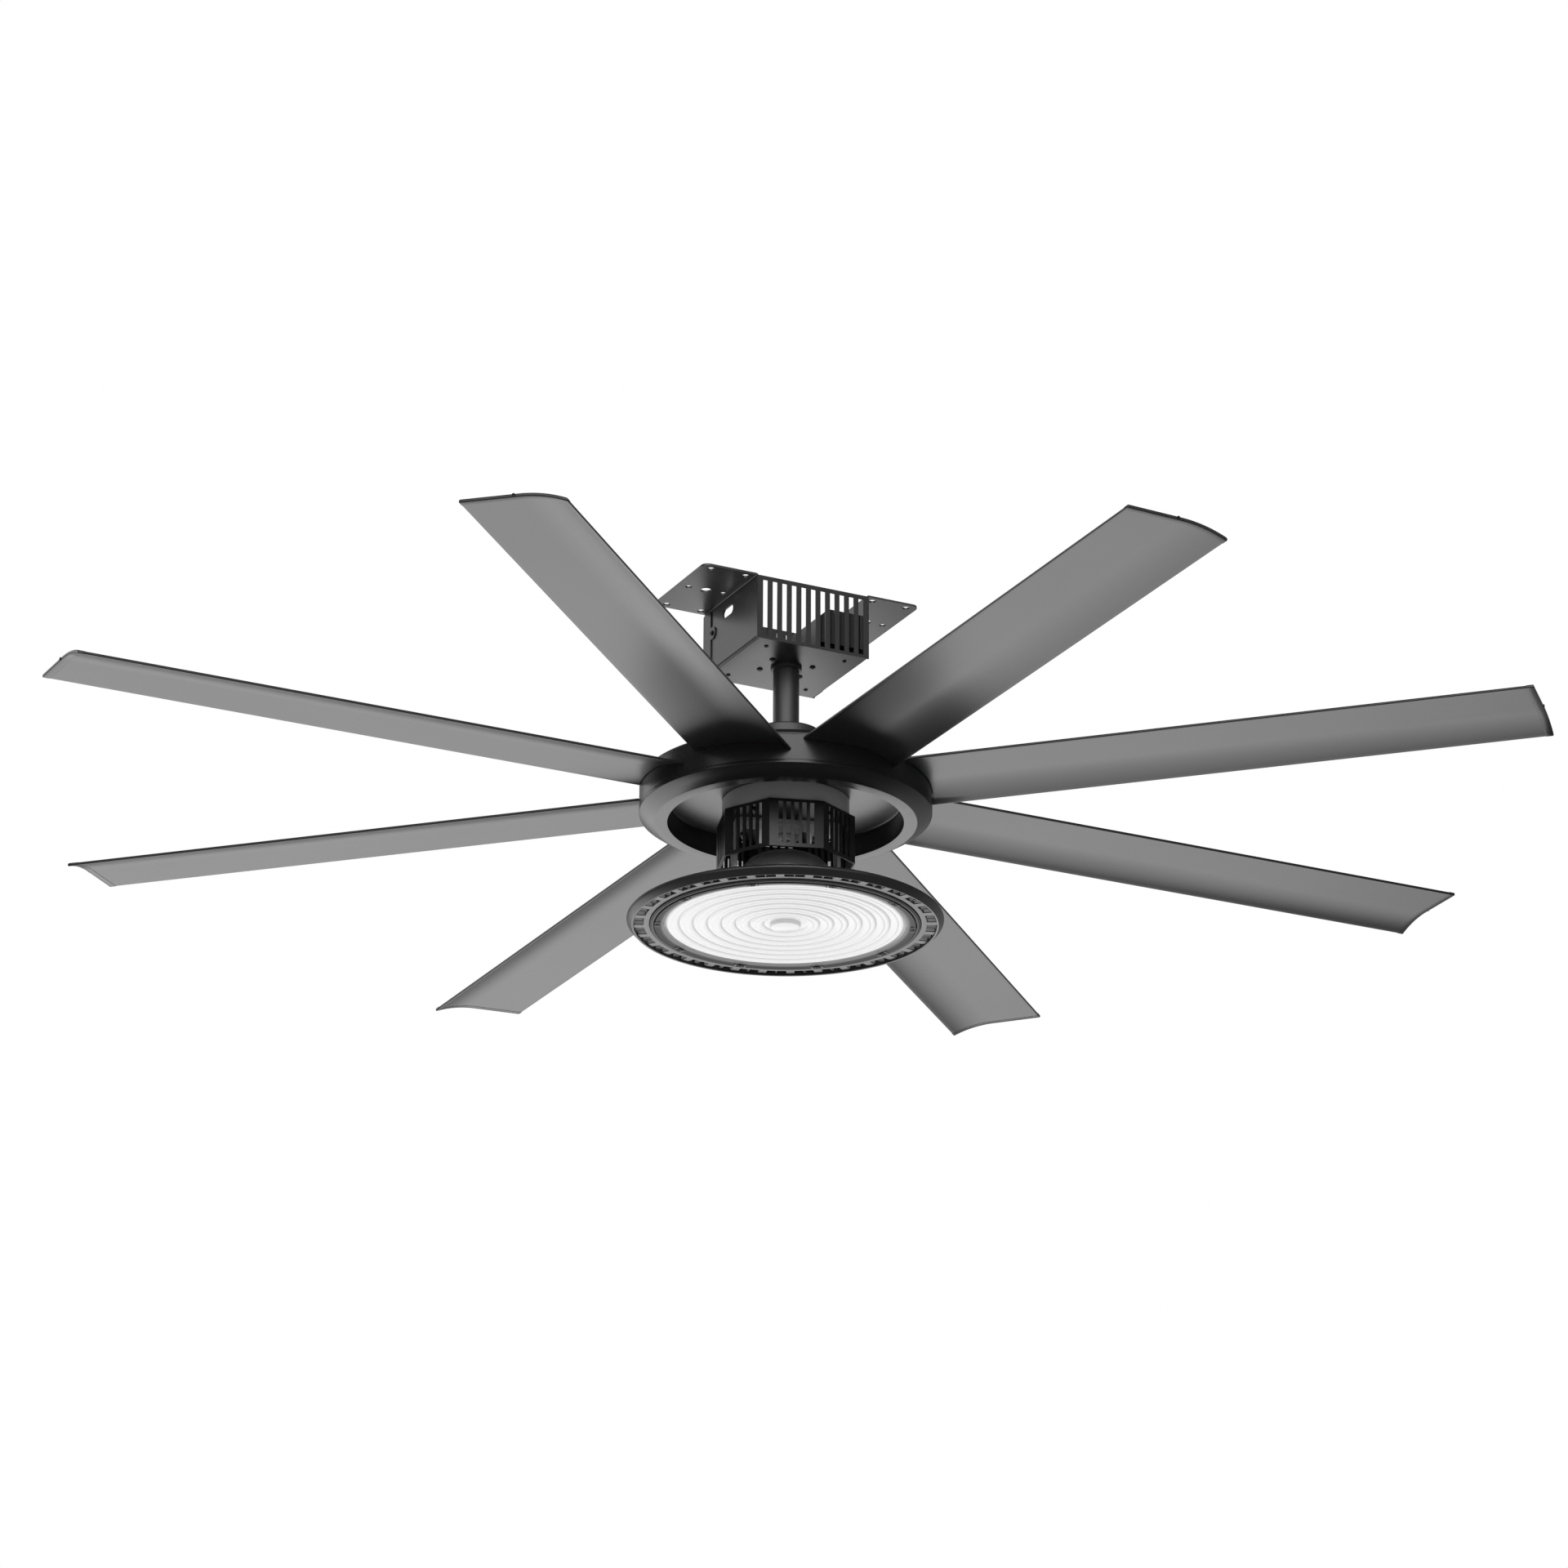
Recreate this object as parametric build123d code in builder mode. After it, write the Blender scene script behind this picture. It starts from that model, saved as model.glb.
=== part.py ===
from build123d import *
import os
from math import atan2, cos, degrees, hypot, pi, radians, sin, sqrt

# Industrial ceiling fan with eight hollow blades and a round lamp under its hub.
# Millimetres, +Z up. The origin is the centre of the ceiling bolts, on the ceiling plane,
# and everything hangs below it. X runs from flange to flange of the ceiling bracket.

os.makedirs("parts", exist_ok=True)

# Clearances and cuts
overrun = 1.0
seat_gap = 0.3
running_gap = 0.05
bolt_clearance = 0.2

# Ceiling bracket: a bent sheet channel whose two flanges bolt to the ceiling
sheet = 2.5
bend_r = 2.5
bracket_width = 150.0
bracket_depth = 144.0
bracket_height = 83.5
flange_width = 70.0
flange_corner_r = 9.0
flange_inner_hole_in = 10.5
flange_outer_hole_in = 13.5
flange_hole_in_y = 11.0
corner_hole_r = 4.5
middle_hole_r = 4.0
anchor_hole_r = 6.5
cable_slot_length = 28.0
cable_slot_height = 12.0
cable_slot_y = 8.0
cable_slot_drop = 20.5

# Slotted panels that close the two open sides of the bracket
panel_sheet = 1.5
panel_tab = 26.0
panel_slot_count = 11
panel_slot_pitch = 12.83
panel_slot_width = 6.5
panel_slot_top_in = 5.0
panel_slot_bottom_in = 4.0
panel_return = 20.0
ear_r = 8.0
ear_drop = 34.5
panel_screw_in = 20.8
panel_screw_spread = 52.5

# Small screws of the bracket: panel tabs, panel ears and the controller
small_screw_r = 2.0
small_screw_head_r = 3.6
small_screw_head = 1.8
small_screw_length = 7.5

# Motor controller inside the bracket
controller_width = 57.0
controller_depth = 92.0
controller_front_in = 12.0
controller_height = 44.0
controller_drop = 23.5
controller_chamfer = 11.0
controller_wall = 2.0
controller_back = 3.0
controller_board = 1.6
controller_post = 5.0
capacitor_count = 3
capacitor_share = 0.25
capacitor_height = 19.0
controller_screw_spread = 34.0

# Downrod and its fixings
rod_r = 15.75
rod_wall = 2.5
rod_drop = 85.0
rod_standout = 3.0
rod_flange_x = 74.0
rod_flange_y = 52.0
rod_flange_corner_r = 8.0
rod_flange_thickness = 6.0
rod_bolt_x = 27.0
rod_bolt_y = 17.0
rod_bolt_r = 3.0
rod_bolt_head_r = 4.6
rod_bolt_head = 2.0
collar_wall = 3.0
collar_height = 4.5
collar_chamfer = 0.8

# Neck cover and the coupler inside it
neck_r = 43.0
neck_height = 30.0
neck_sheet = 2.0
neck_round = 2.5
coupler_r = 23.0
coupler_length = 28.0
coupler_entry = 13.0
coupler_bolt_r = 3.0
coupler_bolt_head_r = 5.0
coupler_bolt_head = 3.5

# Fixed shaft, bearings and stator
shaft_r = 12.5
shaft_bore_r = 5.0
shaft_shoulder_r = 16.0
bearing_r = 26.0
bearing_height = 15.0
bearing_ring_wall = 4.0
bearing_shield_in = 0.8
stator_inner_r = 34.0
stator_height = 28.0
stator_yoke = 12.0
tooth_count = 18
tooth_width = 8.0
tooth_tip = 4.0
tooth_tip_share = 0.84
carrier_hole_count = 6
carrier_hole_r = 3.6
winding_wall = 3.6
winding_standoff = 0.2
winding_root_gap = 2.0
carrier_height = 13.0
air_gap = 1.0
magnet_thickness = 4.0
magnet_count = 20
magnet_share = 0.86
magnet_height = 32.0
back_iron_thickness = 4.0

# Motor bell on top of the hub
bell_gap = 1.0
bell_height = 29.0
bell_wall = 5.0
bell_top = 6.0
bell_round = 8.0
bell_r = 86.0
bell_flange_r = 104.0
bell_flange = 4.0
bell_skirt = 16.0
seat_wall = 5.0
seat_lip = 3.0
seat_lip_in = 6.0

# Hub drum that carries the blades
hub_r = 175.0
hub_ring_height = 31.5
hub_ring_wall = 6.0
hub_shell = 3.0
hub_dish_r = 8.5
hub_skirt = 4.0
hub_chamfer_drop = 11.0
hub_chamfer_in = 18.0
hub_chamfer_bulge = 1.6
recess_rim = 34.0
recess_depth = 29.0
recess_round = 4.0
cover_bolt_count = 8
cover_bolt_circle_r = 95.0
cover_bolt_r = 3.0
cover_bolt_head_r = 5.5
cover_bolt_head = 4.0
boss_r = 6.5

# Blades: hollow profiles of one width; the underside runs straight, then curves down
blade_count = 8
blade_pitch = 6.79
blade_drop = 22.0
blade_chord = 122.0
blade_flat_out = 5.0
blade_flat_rise = 5.9
blade_edge = 4.0
blade_crown = 16.0
blade_nose = 1.6
blade_skin = 1.6
blade_web = 1.8
blade_web_out = 25.0
blade_cell_end = 4.5
blade_tip_r = 913.0
blade_cap = 9.0
cap_lip = 0.8
cap_plug = 14.0
blade_screw_r = 2.5
blade_screw_head_r = 4.8
blade_screw_head = 2.4
blade_screw_length = 7.4
cap_screw_length = 18.0
blade_screw_outs = (30.0, 125.0)

# Blade holders: cast arms bolted under the hub's top cover
holder_width = 40.0
holder_out = 155.0
pad_in = 17.0
pad_length = 40.0
pad_width = 56.0
pad_height = 11.0
pad_screw_spread = 36.0

# Fixed end flange, vent cage and lamp yoke
end_gap = 1.0
end_flange_r = 76.0
end_flange_height = 26.0
end_flange_wall = 5.0
end_flange_hub_r = 24.0
cage_turn = -17.3
cage_across = 156.4
cage_sheet = 2.0
cage_height = 59.5
cage_sides = 8
cage_slot_count = 5
cage_slot_pitch = 9.4
cage_slot_width = 5.4
cage_slot_top_in = 3.5
cage_slot_bottom_in = 4.5
cage_screw_count = 4
cage_screw_circle_r = 62.0
lamp_screw_r = 2.5
lamp_screw_head_r = 4.5
lamp_screw_head = 2.5
lamp_screw_length = 14.0
yoke_sheet = 4.0
yoke_width = 30.0
yoke_reach = 62.0
yoke_height = 107.0
yoke_foot = 22.0
nut_across = 36.0
nut_height = 12.0
nut_washer_r = 22.0
nut_washer = 2.0
shaft_end = 4.0

# Lamp
driver_r = 57.0
driver_height = 63.0
driver_round_r = 31.0
lamp_r = 188.0
lamp_bottom_r = 182.2
lamp_top_r = 185.5
lamp_seat_r = 88.0
lamp_seat_rise = 6.0
lamp_plate = 7.0
lamp_rim_drop = 12.0
lamp_rim_height = 11.6
lamp_rim_break = 4.5
lamp_wall_r = 162.0
vent_inner_r = 164.5
vent_outer_r = 175.4
vent_count = 32
vent_rib = 9.7
vent_turn = 4.9
fins_per_vent = 2
fin_thickness = 3.0
fin_inner_r = 92.0
fin_inner_rise = 22.0
fin_outer_rise = 3.0
led_board_r = 136.0
led_board_thickness = 2.0
led_rings = ((36.0, 8), (76.0, 16), (116.0, 24))
led_size = 7.0
led_height = 1.0
lens_r = 150.0
lens_thickness = 3.0
lens_drop = 22.1
lens_button_r = 25.1
lens_ring_count = 6
lens_ring_height = 0.8
lens_ring_share = 0.55
lens_rim_gap = 0.5
gasket_width = 6.0
retainer_inner_r = 143.5
retainer_outer_r = 160.5
retainer_lip = 1.3
clip_count = 10
clip_turn = 12.4
clip_circle_r = 155.5
clip_screw_r = 2.0
clip_screw_head_r = 3.6
clip_screw_head = 1.6
clip_screw_length = 13.0

# Heights worked out from the ceiling downwards
flange_under_z = -sheet
plate_under_z = -bracket_height
plate_top_z = plate_under_z + sheet
neck_top_z = plate_under_z - rod_drop
neck_bottom_z = neck_top_z - neck_height
bell_top_z = neck_bottom_z - bell_gap
hub_top_z = bell_top_z - bell_height
ring_top_z = hub_top_z - hub_dish_r
ring_bottom_z = ring_top_z - hub_ring_height
skirt_bottom_z = ring_bottom_z - hub_skirt
hub_bottom_z = skirt_bottom_z - hub_chamfer_drop
recess_z = hub_bottom_z + recess_depth
blade_z = hub_top_z - blade_drop
end_flange_top_z = recess_z - end_gap
cage_top_z = end_flange_top_z - end_flange_height
yoke_top_z = cage_top_z - cage_sheet
lamp_seat_z = yoke_top_z - yoke_height
lamp_plate_top_z = lamp_seat_z - lamp_seat_rise
lamp_plate_under_z = lamp_plate_top_z - lamp_plate
rim_top_z = lamp_seat_z - lamp_rim_drop
rim_bottom_z = rim_top_z - lamp_rim_height
lens_under_z = lamp_seat_z - lens_drop
lens_top_z = lens_under_z + lens_thickness
retainer_under_z = lens_under_z - retainer_lip


def write_piece(builder, name):
    """Label a finished piece and write it to a file of its own."""
    builder.part.label = name
    export_step(builder.part, f"parts/{name}.step")


# Ceiling bracket
half_width = bracket_width / 2
flange_out = half_width + flange_width
wall_depth = bracket_depth - 2 * panel_sheet
fold_x = half_width - sheet / 2
flange_inner_hole_x = half_width + flange_inner_hole_in
flange_outer_hole_x = flange_out - flange_outer_hole_in
flange_middle_hole_x = (flange_inner_hole_x + flange_outer_hole_x) / 2
flange_hole_y = bracket_depth / 2 - flange_hole_in_y
panel_screw_y = bracket_depth / 2 - panel_screw_in
collar_r = rod_r + collar_wall

with BuildPart() as ceiling_bracket:
    with BuildSketch(Plane.XZ) as bracket_fold:
        with BuildLine() as fold_line:
            FilletPolyline(
                (-flange_out, flange_under_z + sheet / 2),
                (-fold_x, flange_under_z + sheet / 2),
                (-fold_x, plate_under_z + sheet / 2),
                (fold_x, plate_under_z + sheet / 2),
                (fold_x, flange_under_z + sheet / 2),
                (flange_out, flange_under_z + sheet / 2),
                radius=bend_r,
            )
        trace(line_width=sheet)
    extrude(amount=wall_depth / 2, both=True)
    flange_ends = ceiling_bracket.edges().filter_by(Axis.Z).group_by(Axis.X)
    fillet(flange_ends[0] + flange_ends[-1], flange_corner_r)
    with BuildSketch(Plane.XY) as flange_corner_holes:
        with GridLocations(2 * flange_outer_hole_x, 2 * flange_hole_y, 2, 2):
            Circle(corner_hole_r)
        with GridLocations(2 * flange_inner_hole_x, 2 * flange_hole_y, 2, 2):
            Circle(corner_hole_r)
        with GridLocations(2 * flange_outer_hole_x, 0, 2, 1):
            Circle(middle_hole_r)
        with GridLocations(2 * flange_inner_hole_x, 0, 2, 1):
            Circle(middle_hole_r)
        with GridLocations(2 * flange_middle_hole_x, 0, 2, 1):
            Circle(anchor_hole_r)
    extrude(amount=-sheet - overrun, mode=Mode.SUBTRACT)
    with BuildSketch(Plane.XY.offset(plate_top_z + overrun)) as plate_holes:
        Circle(rod_r + bolt_clearance)
        with GridLocations(2 * rod_bolt_x, 2 * rod_bolt_y, 2, 2):
            Circle(rod_bolt_r + bolt_clearance)
        with GridLocations(2 * panel_screw_spread, 2 * panel_screw_y, 2, 2):
            Circle(small_screw_r + bolt_clearance)
    extrude(amount=-sheet - 2 * overrun, mode=Mode.SUBTRACT)
    with BuildSketch(Plane.YZ.offset(-half_width - overrun)) as cable_slot:
        with Locations((cable_slot_y, -cable_slot_drop)):
            SlotOverall(cable_slot_length, cable_slot_height)
    extrude(amount=sheet + 2 * overrun, mode=Mode.SUBTRACT)
    ear_screw_y = bracket_depth / 2 - panel_return - ear_r / 2
    with BuildSketch(Plane.YZ.offset(-half_width - overrun)) as ear_holes:
        with Locations((ear_screw_y, -ear_drop)):
            Circle(small_screw_r + bolt_clearance)
    extrude(amount=bracket_width + 2 * overrun, mode=Mode.SUBTRACT)
    controller_mid_z = -controller_drop - controller_height / 2
    controller_mid_y = controller_front_in + (controller_depth - bracket_depth) / 2
    with BuildSketch(Plane.YZ.offset(half_width + overrun)) as controller_holes:
        with Locations((controller_mid_y, controller_mid_z)):
            with GridLocations(2 * controller_screw_spread, 0, 2, 1):
                Circle(small_screw_r + bolt_clearance)
    extrude(amount=-sheet - 2 * overrun, mode=Mode.SUBTRACT)
write_piece(ceiling_bracket, "ceiling_bracket")

# Slotted panels
panel_height = bracket_height - sheet
panel_mid_z = flange_under_z - panel_height / 2
tab_width = bracket_width - 2 * sheet - 2 * bend_r - 2 * seat_gap
slot_top_z = flange_under_z - panel_slot_top_in
slot_bottom_z = plate_under_z + panel_slot_bottom_in
slot_height = slot_top_z - slot_bottom_z
tab_y = bracket_depth / 2 - panel_sheet - panel_tab / 2
return_height = panel_height - 2 * bend_r
return_mid_z = panel_mid_z


def slotted_panel(side, returns):
    """One slotted panel, on the front side (-1) or the rear side (+1) of the bracket."""
    outer_y = side * bracket_depth / 2
    with BuildPart() as panel:
        with BuildSketch(Plane.XZ.offset(-outer_y)):
            with Locations((0, panel_mid_z)):
                Rectangle(bracket_width, panel_height)
            with Locations((0, (slot_top_z + slot_bottom_z) / 2)):
                with GridLocations(panel_slot_pitch, 0, panel_slot_count, 1):
                    Rectangle(panel_slot_width, slot_height, mode=Mode.SUBTRACT)
        extrude(amount=side * panel_sheet)
        with BuildSketch(Plane.XY.offset(plate_top_z)):
            with Locations((0, side * tab_y)):
                Rectangle(tab_width, panel_tab)
            with GridLocations(2 * panel_screw_spread, 2 * panel_screw_y, 2, 2):
                Circle(small_screw_r + bolt_clearance, mode=Mode.SUBTRACT)
        extrude(amount=panel_sheet)
        if returns:
            for wall in (-1, 1):
                with BuildSketch(Plane.YZ.offset(wall * half_width)):
                    with Locations((side * (bracket_depth - panel_return) / 2, return_mid_z)):
                        Rectangle(panel_return, return_height)
                    with Locations((side * ear_screw_y, -ear_drop)):
                        Circle(ear_r)
                        Circle(small_screw_r + bolt_clearance, mode=Mode.SUBTRACT)
                extrude(amount=wall * panel_sheet)
    return panel


write_piece(slotted_panel(-1, False), "slotted_panel_front")
write_piece(slotted_panel(1, True), "slotted_panel_rear")


def screw(plane, head_r, head, shank_r, length):
    """A hex-head screw: its head stands on the plane and its shank runs behind it."""
    with BuildSketch(plane) as head_face:
        RegularPolygon(head_r, 6)
    extrude(head_face.sketch, amount=head)
    with BuildSketch(plane) as shank_face:
        Circle(shank_r)
    extrude(shank_face.sketch, amount=-length)


def four_corners(half_x, half_y):
    """The four corners of a rectangle about the fan's axis."""
    return [(x, y) for x in (-half_x, half_x) for y in (-half_y, half_y)]


# Motor controller: a back plate on the bracket's wall, a cover, and a board inside
controller_out = half_width - sheet
controller_in = controller_out - controller_width
controller_top_z = -controller_drop
controller_under_z = controller_top_z - controller_height
back_x = controller_out - controller_back

with BuildPart() as controller_base:
    with BuildSketch(Plane.YZ.offset(back_x)) as controller_back_face:
        with Locations((controller_mid_y, controller_mid_z)):
            Rectangle(controller_depth, controller_height)
            with GridLocations(2 * controller_screw_spread, 0, 2, 1):
                Circle(small_screw_r + bolt_clearance, mode=Mode.SUBTRACT)
    extrude(amount=controller_back)
    with BuildSketch(Plane.YZ.offset(back_x)) as controller_posts:
        with Locations((controller_mid_y, controller_mid_z)):
            with GridLocations(2 * controller_screw_spread, 0, 2, 1):
                Circle(controller_post)
                Circle(small_screw_r + bolt_clearance, mode=Mode.SUBTRACT)
    extrude(amount=-controller_post)
write_piece(controller_base, "controller_base")

with BuildPart() as controller_cover:
    with BuildSketch(Plane.XZ.offset(-controller_mid_y - controller_depth / 2)) as cover_section:
        with BuildLine():
            Polyline(
                (back_x, controller_under_z),
                (controller_in, controller_under_z),
                (controller_in, controller_top_z - controller_chamfer),
                (controller_in + controller_chamfer, controller_top_z),
                (back_x, controller_top_z),
                close=True,
            )
        make_face()
    extrude(amount=controller_depth)
    cover_mouth = controller_cover.faces().sort_by(Axis.X)[-1]
    offset(amount=-controller_wall, openings=cover_mouth)
write_piece(controller_cover, "controller_cover")

with BuildPart() as controller_circuit:
    with BuildSketch(Plane.YZ.offset(back_x - controller_post)) as circuit_face:
        with Locations((controller_mid_y, controller_mid_z)):
            board_width = controller_depth - 2 * controller_wall - 2 * overrun
            board_height = controller_height - 2 * controller_wall - 2 * overrun
            Rectangle(board_width, board_height)
    extrude(amount=-controller_board)
    with BuildSketch(Plane.YZ.offset(back_x - controller_post - controller_board)) as capacitors:
        with Locations((controller_mid_y, controller_mid_z)):
            with GridLocations(board_width * capacitor_share, 0, capacitor_count, 1):
                Circle(board_height * capacitor_share)
    extrude(amount=-capacitor_height)
write_piece(controller_circuit, "controller_circuit")

with BuildPart() as bracket_screws:
    screw_size = (small_screw_head_r, small_screw_head, small_screw_r, small_screw_length)
    for x, y in four_corners(panel_screw_spread, panel_screw_y):
        screw(Plane(origin=(x, y, plate_under_z), z_dir=(0, 0, -1)), *screw_size)
    for wall in (-1, 1):
        head_x = wall * (half_width + panel_sheet)
        screw(Plane(origin=(head_x, ear_screw_y, -ear_drop), z_dir=(wall, 0, 0)), *screw_size)
    for side in (-1, 1):
        screw_y = controller_mid_y + side * controller_screw_spread
        screw(Plane(origin=(half_width, screw_y, controller_mid_z), z_dir=(1, 0, 0)), *screw_size)
write_piece(bracket_screws, "bracket_screws")

# Downrod, its top flange, the bolts that hold it and the collar under the plate
rod_top_z = plate_top_z + rod_flange_thickness + rod_standout
coupler_top_z = neck_top_z - neck_sheet
rod_bottom_z = coupler_top_z - coupler_entry

with BuildPart() as downrod:
    with BuildSketch(Plane.XY.offset(rod_bottom_z)) as rod_section:
        Circle(rod_r)
        Circle(rod_r - rod_wall, mode=Mode.SUBTRACT)
    extrude(amount=rod_top_z - rod_bottom_z)
    with BuildSketch(Plane.YZ.offset(-rod_r - overrun)) as rod_bolt_hole:
        with Locations((0, coupler_top_z - coupler_entry / 2)):
            Circle(coupler_bolt_r + bolt_clearance)
    extrude(amount=2 * rod_r + 2 * overrun, mode=Mode.SUBTRACT)
write_piece(downrod, "downrod")

with BuildPart() as rod_flange:
    with BuildSketch(Plane.XY.offset(plate_top_z)) as rod_flange_face:
        RectangleRounded(rod_flange_x, rod_flange_y, rod_flange_corner_r)
        Circle(rod_r + bolt_clearance, mode=Mode.SUBTRACT)
        with GridLocations(2 * rod_bolt_x, 2 * rod_bolt_y, 2, 2):
            Circle(rod_bolt_r + bolt_clearance, mode=Mode.SUBTRACT)
    extrude(amount=rod_flange_thickness)
write_piece(rod_flange, "rod_flange")

with BuildPart() as rod_flange_bolts:
    shank = sheet + rod_flange_thickness
    for x, y in four_corners(rod_bolt_x, rod_bolt_y):
        head_plane = Plane(origin=(x, y, plate_under_z), z_dir=(0, 0, -1))
        screw(head_plane, rod_bolt_head_r, rod_bolt_head, rod_bolt_r, shank)
write_piece(rod_flange_bolts, "rod_flange_bolts")

with BuildPart() as rod_collar:
    with BuildSketch(Plane.XY.offset(plate_under_z)) as collar_face:
        Circle(collar_r)
        Circle(rod_r + bolt_clearance, mode=Mode.SUBTRACT)
    extrude(amount=-collar_height)
    chamfer(rod_collar.edges().group_by(Axis.Z)[0].sort_by(SortBy.LENGTH)[-1], collar_chamfer)
write_piece(rod_collar, "rod_collar")

# Neck cover over the coupler
with BuildPart() as neck_cover:
    with BuildSketch(Plane.XY.offset(neck_bottom_z)) as neck_section:
        Circle(neck_r)
    extrude(amount=neck_height)
    fillet(neck_cover.edges().group_by(Axis.Z)[-1], neck_round)
    neck_mouth = neck_cover.faces().sort_by(Axis.Z)[0]
    offset(amount=-neck_sheet, openings=neck_mouth)
    with BuildSketch(Plane.XY.offset(neck_top_z + overrun)) as neck_hole:
        Circle(rod_r + seat_gap)
    extrude(amount=-neck_sheet - 2 * overrun, mode=Mode.SUBTRACT)
write_piece(neck_cover, "neck_cover")

shaft_top_z = coupler_top_z - coupler_length + coupler_entry
coupler_bolt_zs = (coupler_top_z - coupler_entry / 2, shaft_top_z - coupler_entry / 2)

with BuildPart() as shaft_coupler:
    with BuildSketch(Plane.XY.offset(coupler_top_z)) as coupler_section:
        Circle(coupler_r)
        Circle(shaft_bore_r, mode=Mode.SUBTRACT)
    extrude(amount=-coupler_length)
    with BuildSketch(Plane.XY.offset(coupler_top_z)) as rod_socket:
        Circle(rod_r + bolt_clearance)
    extrude(amount=-coupler_entry, mode=Mode.SUBTRACT)
    with BuildSketch(Plane.XY.offset(coupler_top_z - coupler_length)) as shaft_socket:
        Circle(shaft_r + bolt_clearance)
    extrude(amount=coupler_entry, mode=Mode.SUBTRACT)
    for bolt_z in coupler_bolt_zs:
        with BuildSketch(Plane.YZ.offset(-coupler_r - overrun)):
            with Locations((0, bolt_z)):
                Circle(coupler_bolt_r + bolt_clearance)
        extrude(amount=2 * coupler_r + 2 * overrun, mode=Mode.SUBTRACT)
write_piece(shaft_coupler, "shaft_coupler")

with BuildPart() as coupler_bolts:
    for bolt_z in coupler_bolt_zs:
        head_plane = Plane(origin=(coupler_r, 0, bolt_z), z_dir=(1, 0, 0))
        screw(head_plane, coupler_bolt_head_r, coupler_bolt_head, coupler_bolt_r, 2 * coupler_r)
        with BuildSketch(Plane.YZ.offset(-coupler_r)):
            with Locations((0, bolt_z)):
                RegularPolygon(coupler_bolt_head_r, 6)
        extrude(amount=-coupler_bolt_head)
write_piece(coupler_bolts, "coupler_bolts")

# Fixed motor shaft with a shoulder for the stator
upper_bearing_z = bell_top_z - seat_lip - bearing_height
lower_bearing_z = recess_z + seat_lip
bearing_zs = (upper_bearing_z, lower_bearing_z)
stator_mid_z = (upper_bearing_z + lower_bearing_z + bearing_height) / 2
carrier_z = stator_mid_z - carrier_height / 2
nut_top_z = yoke_top_z - yoke_sheet
shaft_bottom_z = nut_top_z - nut_washer - nut_height - shaft_end

with BuildPart() as motor_shaft:
    with BuildSketch(Plane.XY.offset(shaft_bottom_z)) as shaft_section:
        Circle(shaft_r)
    extrude(amount=shaft_top_z - shaft_bottom_z)
    with BuildSketch(Plane.XY.offset(carrier_z)) as shoulder_section:
        Circle(shaft_shoulder_r)
    extrude(amount=carrier_height)
    with BuildSketch(Plane.XY.offset(shaft_bottom_z - overrun)) as bore_section:
        Circle(shaft_bore_r)
    extrude(amount=shaft_top_z - shaft_bottom_z + 2 * overrun, mode=Mode.SUBTRACT)
    with BuildSketch(Plane.YZ.offset(-shaft_r - overrun)) as shaft_bolt_hole:
        with Locations((0, coupler_bolt_zs[1])):
            Circle(coupler_bolt_r + bolt_clearance)
    extrude(amount=2 * shaft_r + 2 * overrun, mode=Mode.SUBTRACT)
write_piece(motor_shaft, "motor_shaft")

# Stator: a carrier on the shoulder, the toothed core and one coil on each tooth
bell_inner_r = bell_r - bell_wall
magnet_outer_r = bell_inner_r - back_iron_thickness
magnet_inner_r = magnet_outer_r - magnet_thickness
stator_r = magnet_inner_r - air_gap
core_z = stator_mid_z - stator_height / 2
winding_inner_r = stator_inner_r + stator_yoke + winding_root_gap
winding_width = tooth_width + 2 * winding_standoff + 2 * winding_wall
winding_outer_r = sqrt((stator_r - tooth_tip) ** 2 - winding_width**2 / 4) - winding_standoff
winding_height = stator_height + 2 * winding_standoff + 2 * winding_wall
tooth_tip_angle = 360 / tooth_count * tooth_tip_share

with BuildPart() as stator_carrier:
    with BuildSketch(Plane.XY.offset(carrier_z)) as carrier_section:
        Circle(stator_inner_r)
        Circle(shaft_shoulder_r, mode=Mode.SUBTRACT)
        with PolarLocations((stator_inner_r + shaft_shoulder_r) / 2, carrier_hole_count):
            Circle(carrier_hole_r, mode=Mode.SUBTRACT)
    extrude(amount=carrier_height)
write_piece(stator_carrier, "stator_carrier")


def ring_sector(inner_r, outer_r, middle_angle, sweep_angle):
    """Outline of a ring sector, drawn on the sketch plane in use."""
    start = middle_angle - sweep_angle / 2
    end = middle_angle + sweep_angle / 2

    def spot(radius, angle):
        return (radius * cos(radians(angle)), radius * sin(radians(angle)))

    with BuildLine() as outline:
        ThreePointArc(spot(inner_r, start), spot(inner_r, middle_angle), spot(inner_r, end))
        Line(spot(inner_r, end), spot(outer_r, end))
        ThreePointArc(spot(outer_r, end), spot(outer_r, middle_angle), spot(outer_r, start))
        Line(spot(outer_r, start), spot(inner_r, start))
    make_face(outline.edges())


with BuildPart() as stator_core:
    with BuildSketch(Plane.XY.offset(core_z)) as core_section:
        Circle(stator_inner_r + stator_yoke)
        tooth_length = stator_r - tooth_tip / 2 - stator_inner_r - stator_yoke / 2
        with PolarLocations(stator_inner_r + stator_yoke / 2 + tooth_length / 2, tooth_count):
            Rectangle(tooth_length, tooth_width)
        for tooth in range(tooth_count):
            ring_sector(stator_r - tooth_tip, stator_r, 360 / tooth_count * tooth, tooth_tip_angle)
        Circle(stator_inner_r, mode=Mode.SUBTRACT)
    extrude(amount=stator_height)
write_piece(stator_core, "stator_core")

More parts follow.
